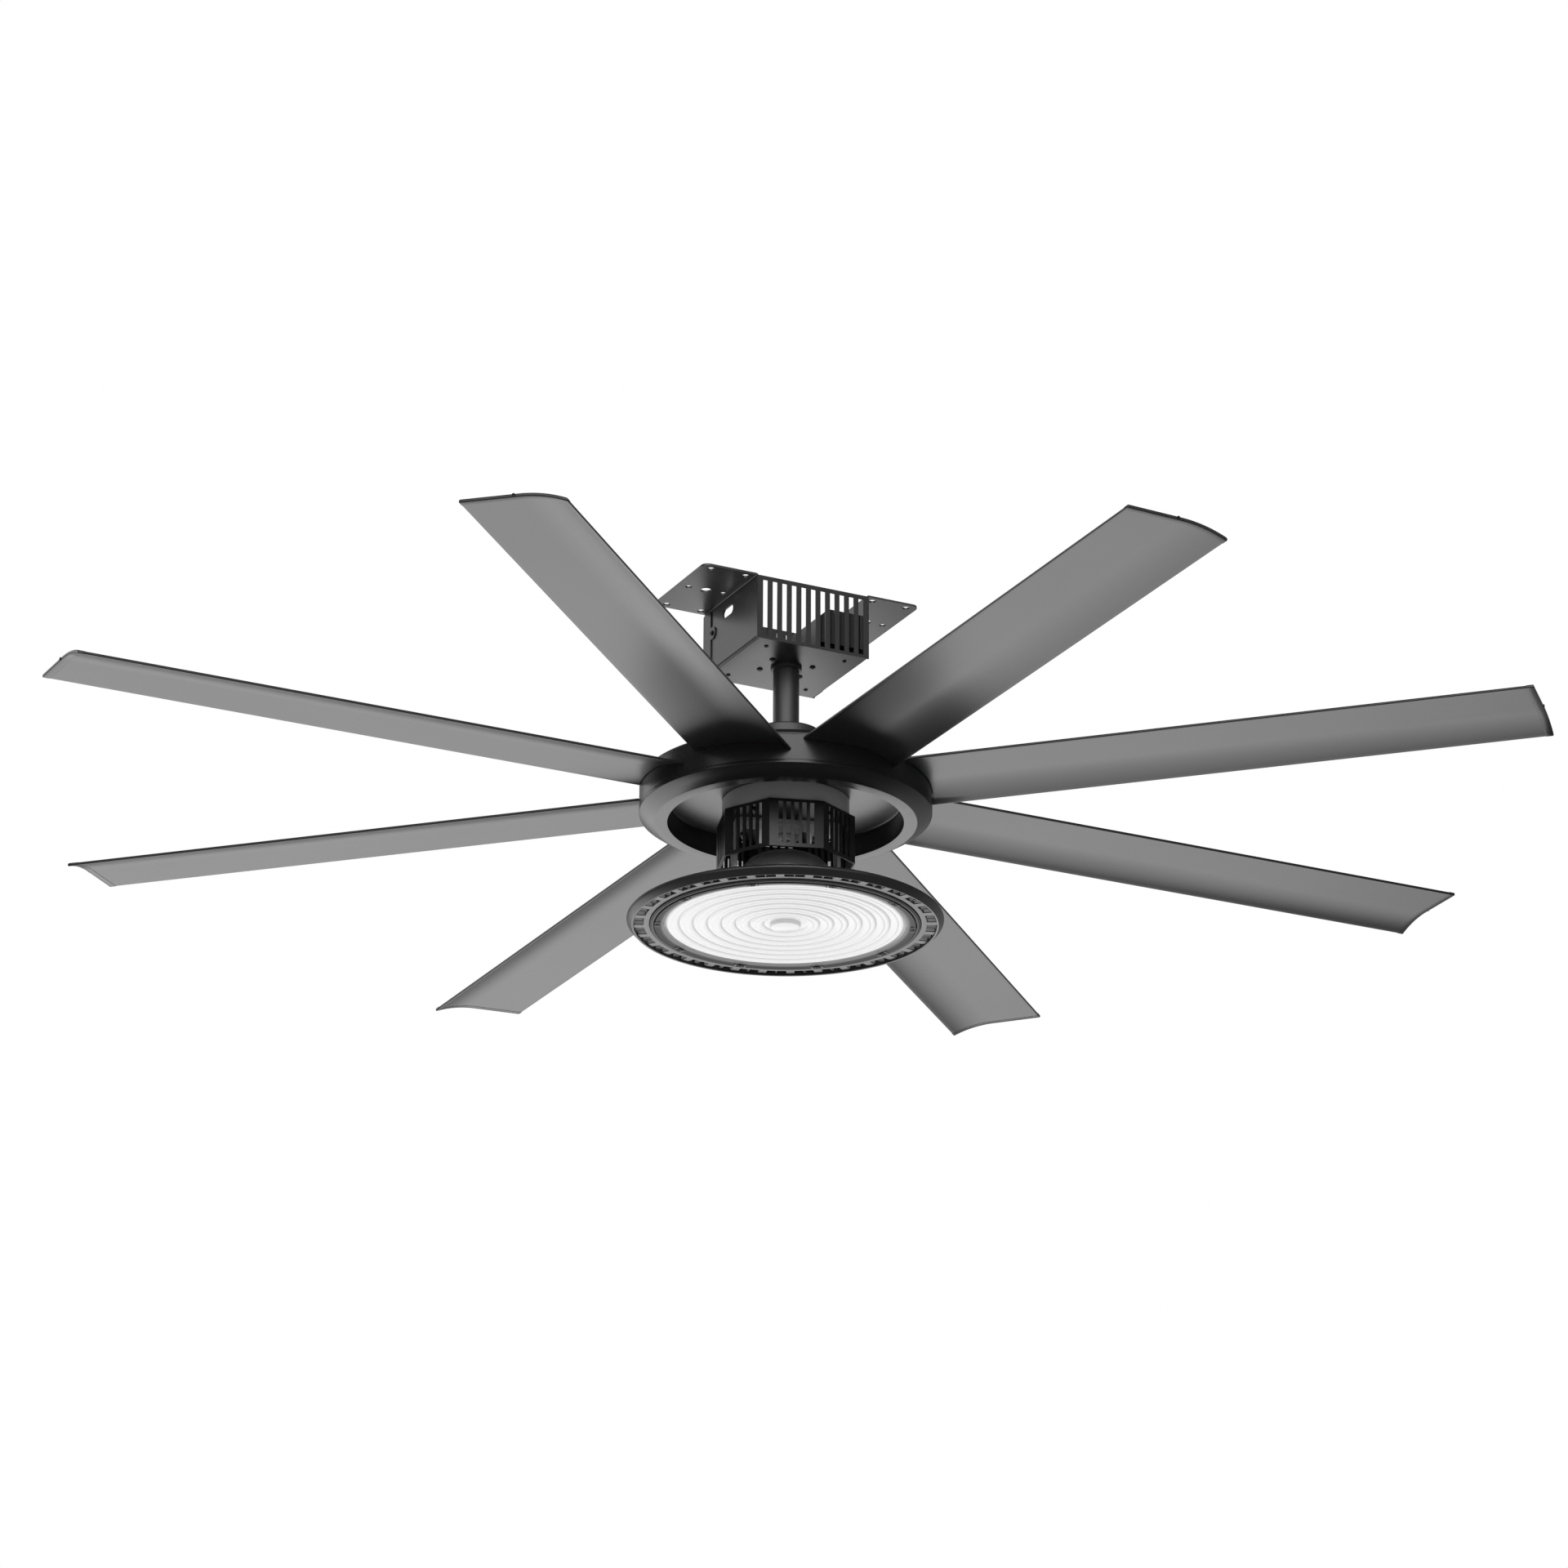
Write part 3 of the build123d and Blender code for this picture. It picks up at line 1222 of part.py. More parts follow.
lens_ring_pitch = (retainer_inner_r - lens_button_r) / (lens_ring_count + 1)


def ring_face(inner_r, outer_r):
    """A flat ring at the height of the lens's underside."""
    with BuildSketch() as ring:
        Circle(outer_r)
        Circle(inner_r, mode=Mode.SUBTRACT)
    return ring.sketch


with BuildPart() as lamp_lens:
    with BuildSketch(Plane.XY.offset(lens_top_z)) as lens_face:
        Circle(lens_r)
    extrude(amount=-lens_thickness)
    with BuildSketch(Plane.XY.offset(lens_under_z)) as lens_grooves:
        for ring in range(lens_ring_count + 1):
            groove_inner_r = lens_button_r + lens_ring_pitch * ring
            groove_outer_r = groove_inner_r + lens_ring_pitch * (1 - lens_ring_share)
            add(ring_face(groove_inner_r, groove_outer_r))
    extrude(amount=lens_ring_height, mode=Mode.SUBTRACT)
write_piece(lamp_lens, "lamp_lens")

with BuildPart() as lens_retainer:
    with BuildSketch(Plane.XZ) as retainer_section:
        with BuildLine():
            Polyline(
                (retainer_inner_r, retainer_under_z),
                (retainer_outer_r, retainer_under_z),
                (retainer_outer_r, lamp_plate_under_z),
                (lens_r + lens_rim_gap, lamp_plate_under_z),
                (lens_r + lens_rim_gap, lens_under_z),
                (retainer_inner_r, lens_under_z),
                close=True,
            )
        make_face()
    revolve(axis=Axis.Z)
    with BuildSketch(Plane.XY.offset(retainer_under_z)) as retainer_holes:
        with PolarLocations(clip_circle_r, clip_count, start_angle=clip_turn):
            Circle(clip_screw_r + bolt_clearance)
    extrude(amount=lamp_plate_under_z - retainer_under_z, mode=Mode.SUBTRACT)
write_piece(lens_retainer, "lens_retainer")

with BuildPart() as retainer_screws:
    for index in range(clip_count):
        spot = around(clip_circle_r, clip_turn + 360 / clip_count * index, retainer_under_z)
        screw(
            Plane(origin=spot, z_dir=(0, 0, -1)),
            clip_screw_head_r,
            clip_screw_head,
            clip_screw_r,
            clip_screw_length,
        )
write_piece(retainer_screws, "retainer_screws")
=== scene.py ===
import math

import bmesh
import bpy
from bpy.props import FloatProperty, FloatVectorProperty, IntProperty, PointerProperty
from mathutils import Matrix, Vector


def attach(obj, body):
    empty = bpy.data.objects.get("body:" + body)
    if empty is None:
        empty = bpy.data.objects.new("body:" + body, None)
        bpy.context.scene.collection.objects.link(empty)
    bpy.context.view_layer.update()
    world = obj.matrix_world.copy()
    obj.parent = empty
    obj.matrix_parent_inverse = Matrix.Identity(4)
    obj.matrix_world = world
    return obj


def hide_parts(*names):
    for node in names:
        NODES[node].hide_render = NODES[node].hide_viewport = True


bl_info = {
    "name": "Ceiling fan",
    "version": (1, 0, 0),
    "blender": (4, 5, 0),
    "location": "View3D > Sidebar > Fan",
    "description": "Dresses the packed ceiling fan and sets up its studio",
    "category": "Object",
}

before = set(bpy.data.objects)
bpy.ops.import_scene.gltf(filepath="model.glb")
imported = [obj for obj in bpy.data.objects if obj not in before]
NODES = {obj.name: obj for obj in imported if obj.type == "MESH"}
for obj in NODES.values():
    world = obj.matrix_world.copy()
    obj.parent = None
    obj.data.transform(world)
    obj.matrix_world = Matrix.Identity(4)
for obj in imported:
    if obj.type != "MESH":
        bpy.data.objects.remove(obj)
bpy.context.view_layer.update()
FIXED = "mount_and_lamp"
TURNING = "rotor"
MM = 0.001


# Settings


def number(label, words, value, **limits):
    """A number that the user can change."""
    return FloatProperty(name=label, description=words, default=value, **limits)


def share(label, words, value):
    """A number between nothing and one."""
    return number(label, words, value, min=0.0, max=1.0, subtype="FACTOR")


def angle(label, words, degrees):
    """An angle that the user can change."""
    return number(label, words, math.radians(degrees), subtype="ANGLE", unit="ROTATION")


def tally(label, words, value):
    """A whole number that the user can change."""
    return IntProperty(name=label, description=words, default=value)


def grey(label, words, level, blue=0.001):
    """A grey, with a touch of blue, that the user can change to any colour."""
    tone = (level, level, level + blue)
    return FloatVectorProperty(
        name=label, description=words, default=tone, subtype="COLOR", size=3, min=0.0, max=1.0
    )


class FanColours(bpy.types.PropertyGroup):
    """The colours of the fan's finishes."""

    bracket: grey("Bracket", "Powder coat of the ceiling bracket", 0.026)
    panel: grey("Panels", "Powder coat of panels and controller", 0.009)
    rod: grey("Downrod", "Paint of the downrod and the neck", 0.026)
    hub: grey("Hub", "Powder coat of the drum", 0.009)
    blade: grey("Blades", "Satin finish of the blades", 0.012)
    cap: grey("Caps", "Moulded end caps of the blades", 0.012)
    cage: grey("Cage", "Powder coat of the vent cage", 0.010)
    lamp: grey("Lamp", "Powder coat of the lamp's casting", 0.018)
    lens: grey("Lens", "Opal plastic of the lens", 0.850, 0.0)
    # The flange's grey is lighter than the other dark parts as painted reflection, standing in for
    # the gloss on its wall.
    flange: grey("Flange", "Paint of the flange over the cage", 0.280, 0.004)
    fastener: grey("Screws", "Black zinc on the screws", 0.030)


class FanSizes(bpy.types.PropertyGroup):
    """Sizes of the details that are added to the model."""

    crease: angle("Crease", "Edges sharper than this stay sharp", 32.0)
    blade_steps: tally("Blade steps", "Points across one skin of a blade", 30)
    blade_rings: tally("Blade rings", "Sections along one blade", 14)
    lathe_steps: tally("Lathe steps", "Sections round a turned piece", 192)
    lens_rings: tally("Lens rings", "Raised rings on the lens", 7)
    screw_steps: tally("Screw steps", "Points round a screw", 24)


class FanStudio(bpy.types.PropertyGroup):
    """The camera and the lights."""

    camera_turn: angle("Camera turn", "Direction of the camera's view round the fan", -26.7473)
    camera_tilt: angle("Camera tilt", "How far the camera looks up", 20.919)
    camera_roll: angle("Camera roll", "Roll of the camera", 0.2008)
    camera_focal: number("Focal length", "Lens in millimetres", 121.877)
    floor_drop: number("Floor drop", "Metres from the ceiling to the floor", 9.8, unit="LENGTH")
    key_level: number("Key light", "Brightness of the large round softbox", 1.32)
    front_level: number("Front light", "Brightness of the softbox over the camera", 1.2)
    wide_level: number("Wide light", "Brightness of the wide softbox behind it", 0.5)
    side_level: number("Side light", "Brightness of the softbox on the left", 0.8)
    ambient: share("Ambient", "Level of the plain surroundings", 0.85)
    mirrored: share("Mirrored surroundings", "How bright the surroundings show in gloss", 0.25)


# Node graphs


class Value:
    """A socket of a node graph that Python's operators extend with more nodes."""

    def __init__(self, graph, socket):
        self.graph = graph
        self.socket = socket

    def math(self, operation, *others):
        values = dict(enumerate((self, *others)))
        return self.graph.node("ShaderNodeMath", {"operation": operation}, values)

    def __add__(self, other):
        return self.math("ADD", other)

    def __sub__(self, other):
        return self.math("SUBTRACT", other)

    def __rsub__(self, other):
        return self.graph.node("ShaderNodeMath", {"operation": "SUBTRACT"}, {0: other, 1: self})

    def __mul__(self, other):
        return self.math("MULTIPLY", other)

    def __truediv__(self, other):
        return self.math("DIVIDE", other)

    __radd__ = __add__
    __rmul__ = __mul__

    def clamped(self):
        """The value kept between nothing and one."""
        return self.math("MAXIMUM", 0.0).math("MINIMUM", 1.0)


class Graph:
    """A node tree with one way to add a node."""

    def __init__(self, tree):
        self.tree = tree

    def node(self, kind, settings=None, values=None, out=0):
        """Adds a node, sets it up, fills its sockets and gives one of its outputs."""
        made = self.tree.nodes.new(kind)
        for name, setting in (settings or {}).items():
            if name == "stops":
                self.stops(made.color_ramp, setting)
            else:
                setattr(made, name, setting)
        for name, value in (values or {}).items():
            self.fill(made.inputs[name], value)
        return Value(self, made.outputs[out]) if made.outputs else None

    def split(self, kind, values, *outs):
        """Adds a node and gives several of its outputs."""
        made = self.node(kind, None, values).socket.node
        return [Value(self, made.outputs[out]) for out in outs]

    def fill(self, socket, value):
        if isinstance(value, Value):
            self.tree.links.new(value.socket, socket)
        else:
            socket.default_value = value

    @staticmethod
    def stops(ramp, stops):
        while len(ramp.elements) > 1:
            ramp.elements.remove(ramp.elements[-1])
        for index, (place, tone) in enumerate(stops):
            element = ramp.elements[0] if index == 0 else ramp.elements.new(place)
            element.position = place
            element.color = (*tone, 1.0)


class Finish(Graph):
    """A material on one Principled shader, written as expressions."""

    def __init__(self, name, roughness=0.4, metallic=0.0, specular=0.5):
        self.material = bpy.data.materials.new(name)
        self.material.use_nodes = True
        super().__init__(self.material.node_tree)
        self.shader = self.tree.nodes["Principled BSDF"]
        self.set("Roughness", roughness)
        self.set("Metallic", metallic)
        self.set("Specular IOR Level", specular)
        self.place = self.node("ShaderNodeTexCoord", out="Object")

    def set(self, name, value):
        self.fill(self.shader.inputs[name], value)

    def spot(self):
        """Object coordinates as three values."""
        return self.split("ShaderNodeSeparateXYZ", {"Vector": self.place}, "X", "Y", "Z")

    def noise(self, scale, detail=2.0, place=None, rough=0.5):
        """Smooth noise between nothing and one; its scale is in spots per metre."""
        values = {"Vector": place or self.place, "Scale": scale}
        values.update({"Detail": detail, "Roughness": rough})
        return self.node("ShaderNodeTexNoise", None, values)

    def stretched(self, stretch, place=None):
        """Coordinates stretched along the axes."""
        values = {"Vector": place or self.place, "Scale": stretch}
        return self.node("ShaderNodeMapping", None, values)

    def mix(self, factor, low, high, blend="MIX"):
        """A colour between two others, or their blend."""
        settings = {"data_type": "RGBA", "blend_type": blend}
        values = {"Factor": factor, 6: rgba(low), 7: rgba(high)}
        return self.node("ShaderNodeMix", settings, values, out=2)

    def shaded(self, tone, amount, factor):
        """A colour that varies a little about one tone."""
        return self.mix(factor, [c * (1 - amount) for c in tone], [c * (1 + amount) for c in tone])

    def dressed(self, tone, roughness, height, depth, strength):
        """The material with its colour, its roughness and its relief."""
        relief = {"Height": height, "Distance": depth * MM, "Strength": strength}
        self.set("Base Color", tone)
        self.set("Roughness", roughness)
        self.set("Normal", self.node("ShaderNodeBump", None, relief))
        return self.material


def rgba(tone):
    """A colour with full opacity; links pass through."""
    return tone if isinstance(tone, Value) else (*tone[:3], 1.0)


def off_axis(x, y):
    """Distance from the fan's axis."""
    return (x * x + y * y).math("SQRT")


BAND_SHARPNESS = 4000.0


def between(value, low, high):
    """A mask of where a value lies between two limits in millimetres."""
    over = ((value - low * MM) * BAND_SHARPNESS).clamped()
    return over * ((high * MM - value) * BAND_SHARPNESS).clamped()


# Finishes. Scales of noise are in spots per metre and depths of relief in millimetres.


# Painted reflection: lighter bands of colour that stand in for reflected light. Each gives tone,
# heights from and to, and distances from the axis from and to.
# The flange's underside: near white as painted reflection of the softbox.
FLANGE_PAINTED_REFLECTION = ((0.75, 0.75, 0.76), -282.5, -281.2)
# The recess's ceiling: lighter as painted reflection.
RECESS_PAINTED_REFLECTION = ((0.12, 0.12, 0.122), -255.2, -250.0)
# The faces of the ribs and fins inside the vent windows: lighter as painted reflection of the
# front light.
VENT_PAINTED_REFLECTION = ((0.50, 0.50, 0.505), -410.8, -399.0, 168.3, 179.3)


def powder_coat(name, tone, roughness, specular=1.0, faces=None):
    """Satin powder coat: fine orange peel, faint clouds and a few rubbed spots, with a lighter
    band of painted reflection where faces are given.
    """
    coat = Finish(name, roughness, 0.0, specular)
    cloud = coat.noise(7.0, 4.0)
    speck = coat.noise(2600.0, 1.0)
    peel = coat.noise(900.0, 2.0)
    rub = ((coat.noise(38.0, 5.0, rough=0.65) - 0.60) * 5.0).clamped()
    shade = coat.shaded(tone, 0.07, cloud * 0.7 + speck * 0.3)
    if faces:
        shade = painted_reflection_band(coat, shade, *faces)
    rough = roughness - 0.03 + cloud * 0.06 + rub * 0.05
    return coat.dressed(shade, rough, peel, 0.02, 0.35)


def painted_reflection_band(coat, tone, inner, low, high, beyond=0.0, within=0.0):
    """A lighter tone, painted reflection, between two heights and, where given, two distances from
    the axis.
    """
    x, y, z = coat.spot()
    band = between(z, low, high)
    if within:
        band = band * between(off_axis(x, y), beyond, within)
    return coat.mix(band, tone, inner)


def anodised_profile(name, tone):
    """Satin anodised blade with faint die lines along its length, read from the UV map."""
    skin = Finish(name, 0.30, 0.0, 1.0)
    lay = skin.node("ShaderNodeUVMap", {"uv_map": "UVMap"})
    lines = skin.noise(1.0, 3.0, skin.stretched((900.0, 3.0, 1.0), lay), 0.6)
    bands = skin.noise(1.0, 2.0, skin.stretched((60.0, 0.9, 1.0), lay))
    cloud = skin.noise(4.0, 3.0)
    shade = skin.shaded(tone, 0.06, lines * 0.35 + bands * 0.35 + cloud * 0.3)
    return skin.dressed(shade, 0.27 + lines * 0.04 + cloud * 0.04, lines, 0.04, 0.35)


def moulded_plastic(name, tone, roughness):
    """Finely sparked moulded plastic."""
    plastic = Finish(name, roughness, 0.0, 0.45)
    spark = plastic.noise(1500.0, 3.0)
    shade = plastic.shaded(tone, 0.06, plastic.noise(12.0, 3.0))
    return plastic.dressed(shade, roughness - 0.05 + spark * 0.10, spark, 0.05, 0.4)


def bare_casting(name, tone):
    """Unpainted cast aluminium with a sandy skin."""
    cast = Finish(name, 0.45, 1.0)
    sand = cast.noise(650.0, 5.0, rough=0.7)
    shade = cast.shaded(tone, 0.12, cast.noise(16.0, 3.0))
    return cast.dressed(shade, 0.38 + sand * 0.18, sand, 0.2, 0.4)


def ground_steel(name, tone):
    """Ground steel with fine rings about the fan's axis."""
    steel = Finish(name, 0.25, 1.0)
    rings = steel.noise(1.0, 2.0, steel.stretched((40.0, 40.0, 5200.0)))
    shade = steel.shaded(tone, 0.05, rings)
    return steel.dressed(shade, 0.20 + rings * 0.12, rings, 0.03, 0.4)


def stacked_sheets(name, tone, thickness=0.5):
    """The edge of a stack of thin electrical steel sheets."""
    stack = Finish(name, 0.42, 1.0)
    high = stack.spot()[2]
    sheets = (high * (2 * math.pi / (thickness * MM))).math("SINE") * 0.5 + 0.5
    grime = stack.noise(90.0, 4.0)
    shade = stack.shaded(tone, 0.25, sheets * 0.6 + grime * 0.4)
    return stack.dressed(shade, 0.36 + grime * 0.15, sheets, 0.06, 0.8)


def enamelled_wire(name, tone, thickness=1.1):
    """Varnished copper wire laid in turns."""
    wire = Finish(name, 0.3, 0.85)
    high = wire.spot()[2]
    turns = (high * (2 * math.pi / (thickness * MM))).math("SINE").math("ABSOLUTE")
    varnish = wire.noise(70.0, 4.0)
    shade = wire.shaded(tone, 0.3, turns * 0.7 + varnish * 0.3)
    return wire.dressed(shade, 0.22 + varnish * 0.18, turns, 0.3, 0.9)


def zinc_plate(name, tone, roughness=0.38):
    """Plated steel with a faint bloom."""
    plate = Finish(name, roughness, 0.8)
    bloom = plate.noise(260.0, 4.0)
    shade = plate.shaded(tone, 0.3, bloom)
    return plate.dressed(shade, roughness - 0.08 + bloom * 0.18, bloom, 0.03, 0.3)


def circuit_resist(name):
    """Green solder resist with tracks under it."""
    board = Finish(name, 0.3, 0.0, 0.5)
    values = {"Vector": board.place, "Scale": 260.0, "Randomness": 0.85}
    edges = {"feature": "DISTANCE_TO_EDGE"}
    cells = board.node("ShaderNodeTexVoronoi", edges, values, out="Distance")
    tracks = ((0.12 - cells) * 12.0).clamped()
    shade = board.mix(tracks, (0.015, 0.10, 0.035), (0.03, 0.19, 0.07))
    return board.dressed(shade, 0.26 + tracks * 0.12, tracks, 0.05, 0.5)


def opal_lens(name, tone):
    """Opal moulded plastic, a little cloudy, with a smooth face and painted shade darkening its
    outer edge.
    """
    lens = Finish(name, 0.22, 0.0, 0.5)
    cloud = lens.noise(14.0, 3.0)
    grain = lens.noise(1900.0, 2.0)
    x, y, _ = lens.spot()
    edge = painted_edge_shade(lens, off_axis(x, y))
    shade = lens.mix(1.0, lens.shaded(tone, 0.012, cloud), edge, "DARKEN")
    return lens.dressed(shade, 0.19 + cloud * 0.07, grain, 0.02, 0.25)


def silicone(name, tone):
    """Matt silicone with a dusty bloom."""
    rubber = Finish(name, 0.7, 0.0, 0.3)
    dust = rubber.noise(320.0, 4.0)
    shade = rubber.shaded(tone, 0.10, dust)
    return rubber.dressed(shade, 0.62 + dust * 0.15, dust, 0.08, 0.5)


# Tone of the lens's edge and its ring by the distance from the axis, in millimetres: painted shade
# from white to near black over the edge, a near-black line of painted shade in the groove and a
# lighter ridge
LENS_EDGE_PAINTED_SHADE = (
    (139.0, 0.82), (141.0, 0.58), (143.0, 0.40), (145.0, 0.25), (147.0, 0.13), (149.2, 0.040),
    (154.6, 0.030), (155.0, 0.004), (155.9, 0.004), (156.2, 0.090), (158.3, 0.080),
    (158.6, 0.030),
)
FADE_START = 139.0
FADE_RUN = 22.0


def painted_edge_shade(finish, out):
    """Colour over the lens's edge and its ring: opal white that goes to near black outward,
    painted shade over the edge and in the groove.
    """
    along = (out - FADE_START * MM) * (1 / (FADE_RUN * MM))
    stops = [((r - FADE_START) / FADE_RUN, (tone, tone, tone)) for r, tone in LENS_EDGE_PAINTED_SHADE]
    return finish.node("ShaderNodeValToRGB", {"stops": stops}, {"Fac": along})


def retainer_ring(name):
    """Moulded ring whose colour goes from the lens's white to near black as painted shade, with
    clips whose tabs are lighter as painted highlights and whose middle blocks are near black as
    painted shade.
    """
    plastic = Finish(name, 0.36, 0.0, 0.08)
    x, y, z = plastic.spot()
    out = off_axis(x, y)
    # Painted shade: white to near black over the ring's inner edge and groove.
    edge_shade = painted_edge_shade(plastic, out)
    turn = y.math("ARCTAN2", x) * CLIP_COUNT - math.radians(CLIP_TURN * CLIP_COUNT)
    block = ((turn.math("COSINE") - BLOCK_COSINE) * BLOCK_SHARPNESS).clamped()
    face = RETAINER_Z * MM - out * RETAINER_SLOPE + RETAINER_R * RETAINER_SLOPE * MM
    low = ((face - CLIP_STANDS * MM - z) * CLIP_SHARPNESS).clamped()
    spark = plastic.noise(1500.0, 3.0)
    # Where the clips stand below the ring, the light tabs are painted highlights and the
    # near-black middle block is painted shade.
    raised = plastic.mix(block, (0.15, 0.15, 0.152), (0.006, 0.006, 0.006))
    shade = plastic.mix(low, edge_shade, raised)
    return plastic.dressed(shade, 0.30 + spark * 0.12, spark, 0.04, 0.3)


FINISHES = {}


def make_finishes(colours):
    """Makes every material once."""
    FINISHES.update(
        bracket=powder_coat("bracket_powder_coat", colours.bracket, 0.34),
        panel=powder_coat("panel_powder_coat", colours.panel, 0.36),
        rod=powder_coat("rod_paint", colours.rod, 0.40),
        hub=powder_coat("hub_powder_coat", colours.hub, 0.28),
        recess=powder_coat("recess_coat", colours.hub, 0.30, faces=RECESS_PAINTED_REFLECTION),
        blade=anodised_profile("blade_anodised", colours.blade),
        cap=powder_coat("cap_satin_plastic", colours.cap, 0.30),
        cage=powder_coat("cage_powder_coat", colours.cage, 0.34),
        lamp=powder_coat("lamp_powder_coat", colours.lamp, 0.32, faces=VENT_PAINTED_REFLECTION),
        flange=powder_coat("flange_paint", colours.flange, 0.34, faces=FLANGE_PAINTED_REFLECTION),
        # The driver's raised grey is painted reflection, standing in for the highlight on its
        # dome.
        driver=powder_coat("driver_paint", (0.085, 0.085, 0.087), 0.34),
        casting=bare_casting("bare_casting", (0.42, 0.42, 0.43)),
        steel=ground_steel("ground_steel", (0.20, 0.20, 0.205)),
        core=stacked_sheets("stacked_core_sheets", (0.26, 0.26, 0.27)),
        wire=enamelled_wire("enamelled_wire", (0.50, 0.19, 0.07)),
        magnet=zinc_plate("magnet_plating", (0.42, 0.42, 0.43), 0.28),
        screw=zinc_plate("black_zinc", colours.fastener),
        board=circuit_resist("circuit_resist"),
        light_board=moulded_plastic("light_board_white", (0.75, 0.75, 0.73), 0.4),
        gasket=silicone("gasket_silicone", (0.35, 0.35, 0.35)),
        lens=opal_lens("opal_lens", colours.lens),
        retainer=retainer_ring("retainer_plastic"),
        # Pale grey on the yoke, shaft and nut is painted reflection, standing in for the lit faces
        # seen through the cage's slots.
        yoke=powder_coat("yoke_zinc", (0.42, 0.42, 0.425), 0.42, 0.5),
    )


BLADE_COUNT = 8
BLADE_NUMBERS = range(1, BLADE_COUNT + 1)
BEARINGS = ("upper_bearing", "lower_bearing")
FIXED_SCREWS = ("bracket_screws", "rod_flange_bolts", "lamp_screws", "retainer_screws")
TURNING_SCREWS = ("hub_cover_bolts", "blade_screws")
NODE_FINISHES = {
    "bracket": ("ceiling_bracket", "rod_flange"),
    "panel": ("slotted_panel_front", "slotted_panel_rear", "controller_cover"),
    "rod": ("downrod", "rod_collar", "neck_cover", "shaft_coupler"),
    "hub": ("motor_bell", "hub_ring", "hub_top_cover", "hub_bottom_cover", "blade_holders"),
    "flange": ("end_flange",),
    "blade": [f"blade_{number}" for number in BLADE_NUMBERS],
    "cap": [f"blade_cap_{number}" for number in BLADE_NUMBERS],
    "cage": ("vent_cage",),
    "yoke": ("lamp_yoke", "motor_shaft", "shaft_nut"),
    "driver": ("driver_housing",),
    "lamp": ("lamp_heat_sink",),
    "casting": ("controller_base", "stator_carrier"),
    "steel": [f"{bearing}_{ring}" for ring in ("inner", "outer") for bearing in BEARINGS],
    "core": ("stator_core", "back_iron"),
    "wire": ("stator_windings",),
    "magnet": ("rotor_magnets",),
    "screw": (*FIXED_SCREWS, *TURNING_SCREWS, "coupler_bolts"),
    "board": ("controller_circuit",),
    "light_board": ("led_board",),
    "gasket": ("lens_gasket",),
    "lens": ("lamp_lens",),
    "retainer": ("lens_retainer",),
}


# Node trees on geometry


WELD = 0.002 * MM


def new_tree(name, *inputs):
    """The graph of a new tree on geometry, and its inputs by label and kind."""
    tree = bpy.data.node_groups.new(name, "GeometryNodeTree")
    for label, kind in (("Geometry", "Geometry"), *inputs):
        tree.interface.new_socket(name=label, in_out="INPUT", socket_type=f"NodeSocket{kind}")
    tree.interface.new_socket(name="Geometry", in_out="OUTPUT", socket_type="NodeSocketGeometry")
    graph = Graph(tree)
    return graph, graph.split("NodeGroupInput", None, *range(len(inputs) + 1))


def add_modifier(obj, name, tree, inputs):
    """Puts a node tree on an object, with its inputs by label."""
    modifier = obj.modifiers.new(name, "NODES")
    modifier.node_group = tree
    sockets = {s.name: s.identifier for s in tree.interface.items_tree if s.in_out == "INPUT"}
    for label, value in inputs.items():
        modifier[sockets[label]] = value


def soften_tree():
    """Joins a CAD node's loose triangles and shades it smooth between its real edges."""
    inputs = (("Merge", "Float"), ("Crease", "Float"))
    graph, (shape, merge, crease) = new_tree("soften_edges", *inputs)
    values = {"Geometry": shape, "Name": "custom_normal"}
    plain = graph.node("GeometryNodeRemoveAttribute", None, values)
    whole = graph.node("GeometryNodeMergeByDistance", None, {"Geometry": plain, "Distance": merge})
    values = {"Geometry": whole, "Shade Smooth": True}
    smooth = graph.node("GeometryNodeSetShadeSmooth", {"domain": "FACE"}, values)
    values = {"A": graph.node("GeometryNodeInputMeshEdgeAngle", out="Unsigned Angle"), "B": crease}
    settings = {"data_type": "FLOAT", "operation": "GREATER_THAN"}
    sharp = graph.node("FunctionNodeCompare", settings, values)
    values = {"Geometry": smooth, "Selection": sharp, "Shade Smooth": False}
    edged = graph.node("GeometryNodeSetShadeSmooth", {"domain": "EDGE"}, values)
    graph.node("NodeGroupOutput", None, {0: edged})
    return graph.tree


def set_pattern(graph, points, shape, coat, twist, **more):
    """Ends a tree: a pattern set on points, made real and given its finish."""
    values = {"Points": points, "Rotation": twist, **more}
    pattern = graph.node("GeometryNodeObjectInfo", None, {"Object": shape}, out="Geometry")
    values["Instance"] = pattern
    placed = graph.node("GeometryNodeInstanceOnPoints", None, values)
    real = graph.node("GeometryNodeRealizeInstances", None, {"Geometry": placed})
    coated = graph.node("GeometryNodeSetMaterial", None, {"Geometry": real, "Material": coat})
    graph.node("NodeGroupOutput", None, {0: coated})
    return graph.tree


def twisted(graph, turn):
    """A rotation about the upright axis."""
    about = graph.node("ShaderNodeCombineXYZ", None, {"Z": turn})
    return graph.node("FunctionNodeEulerToRotation", None, {"Euler": about})


def ray_tree():
    """Sets a pattern on equal rays about the fan's axis."""
    inputs = (("Pattern", "Object"), ("Finish", "Material"), ("Count", "Int"), ("Turn", "Float"))
    graph, (_, shape, coat, count, turn) = new_tree("equal_rays", *inputs)
    line = graph.node("GeometryNodeMeshLine", None, {"Count": count, "Offset": (0.0, 0.0, 0.0)})
    index = graph.node("GeometryNodeInputIndex")
    twist = twisted(graph, index * (2 * math.pi) / count + turn)
    return set_pattern(graph, line, shape, coat, twist)


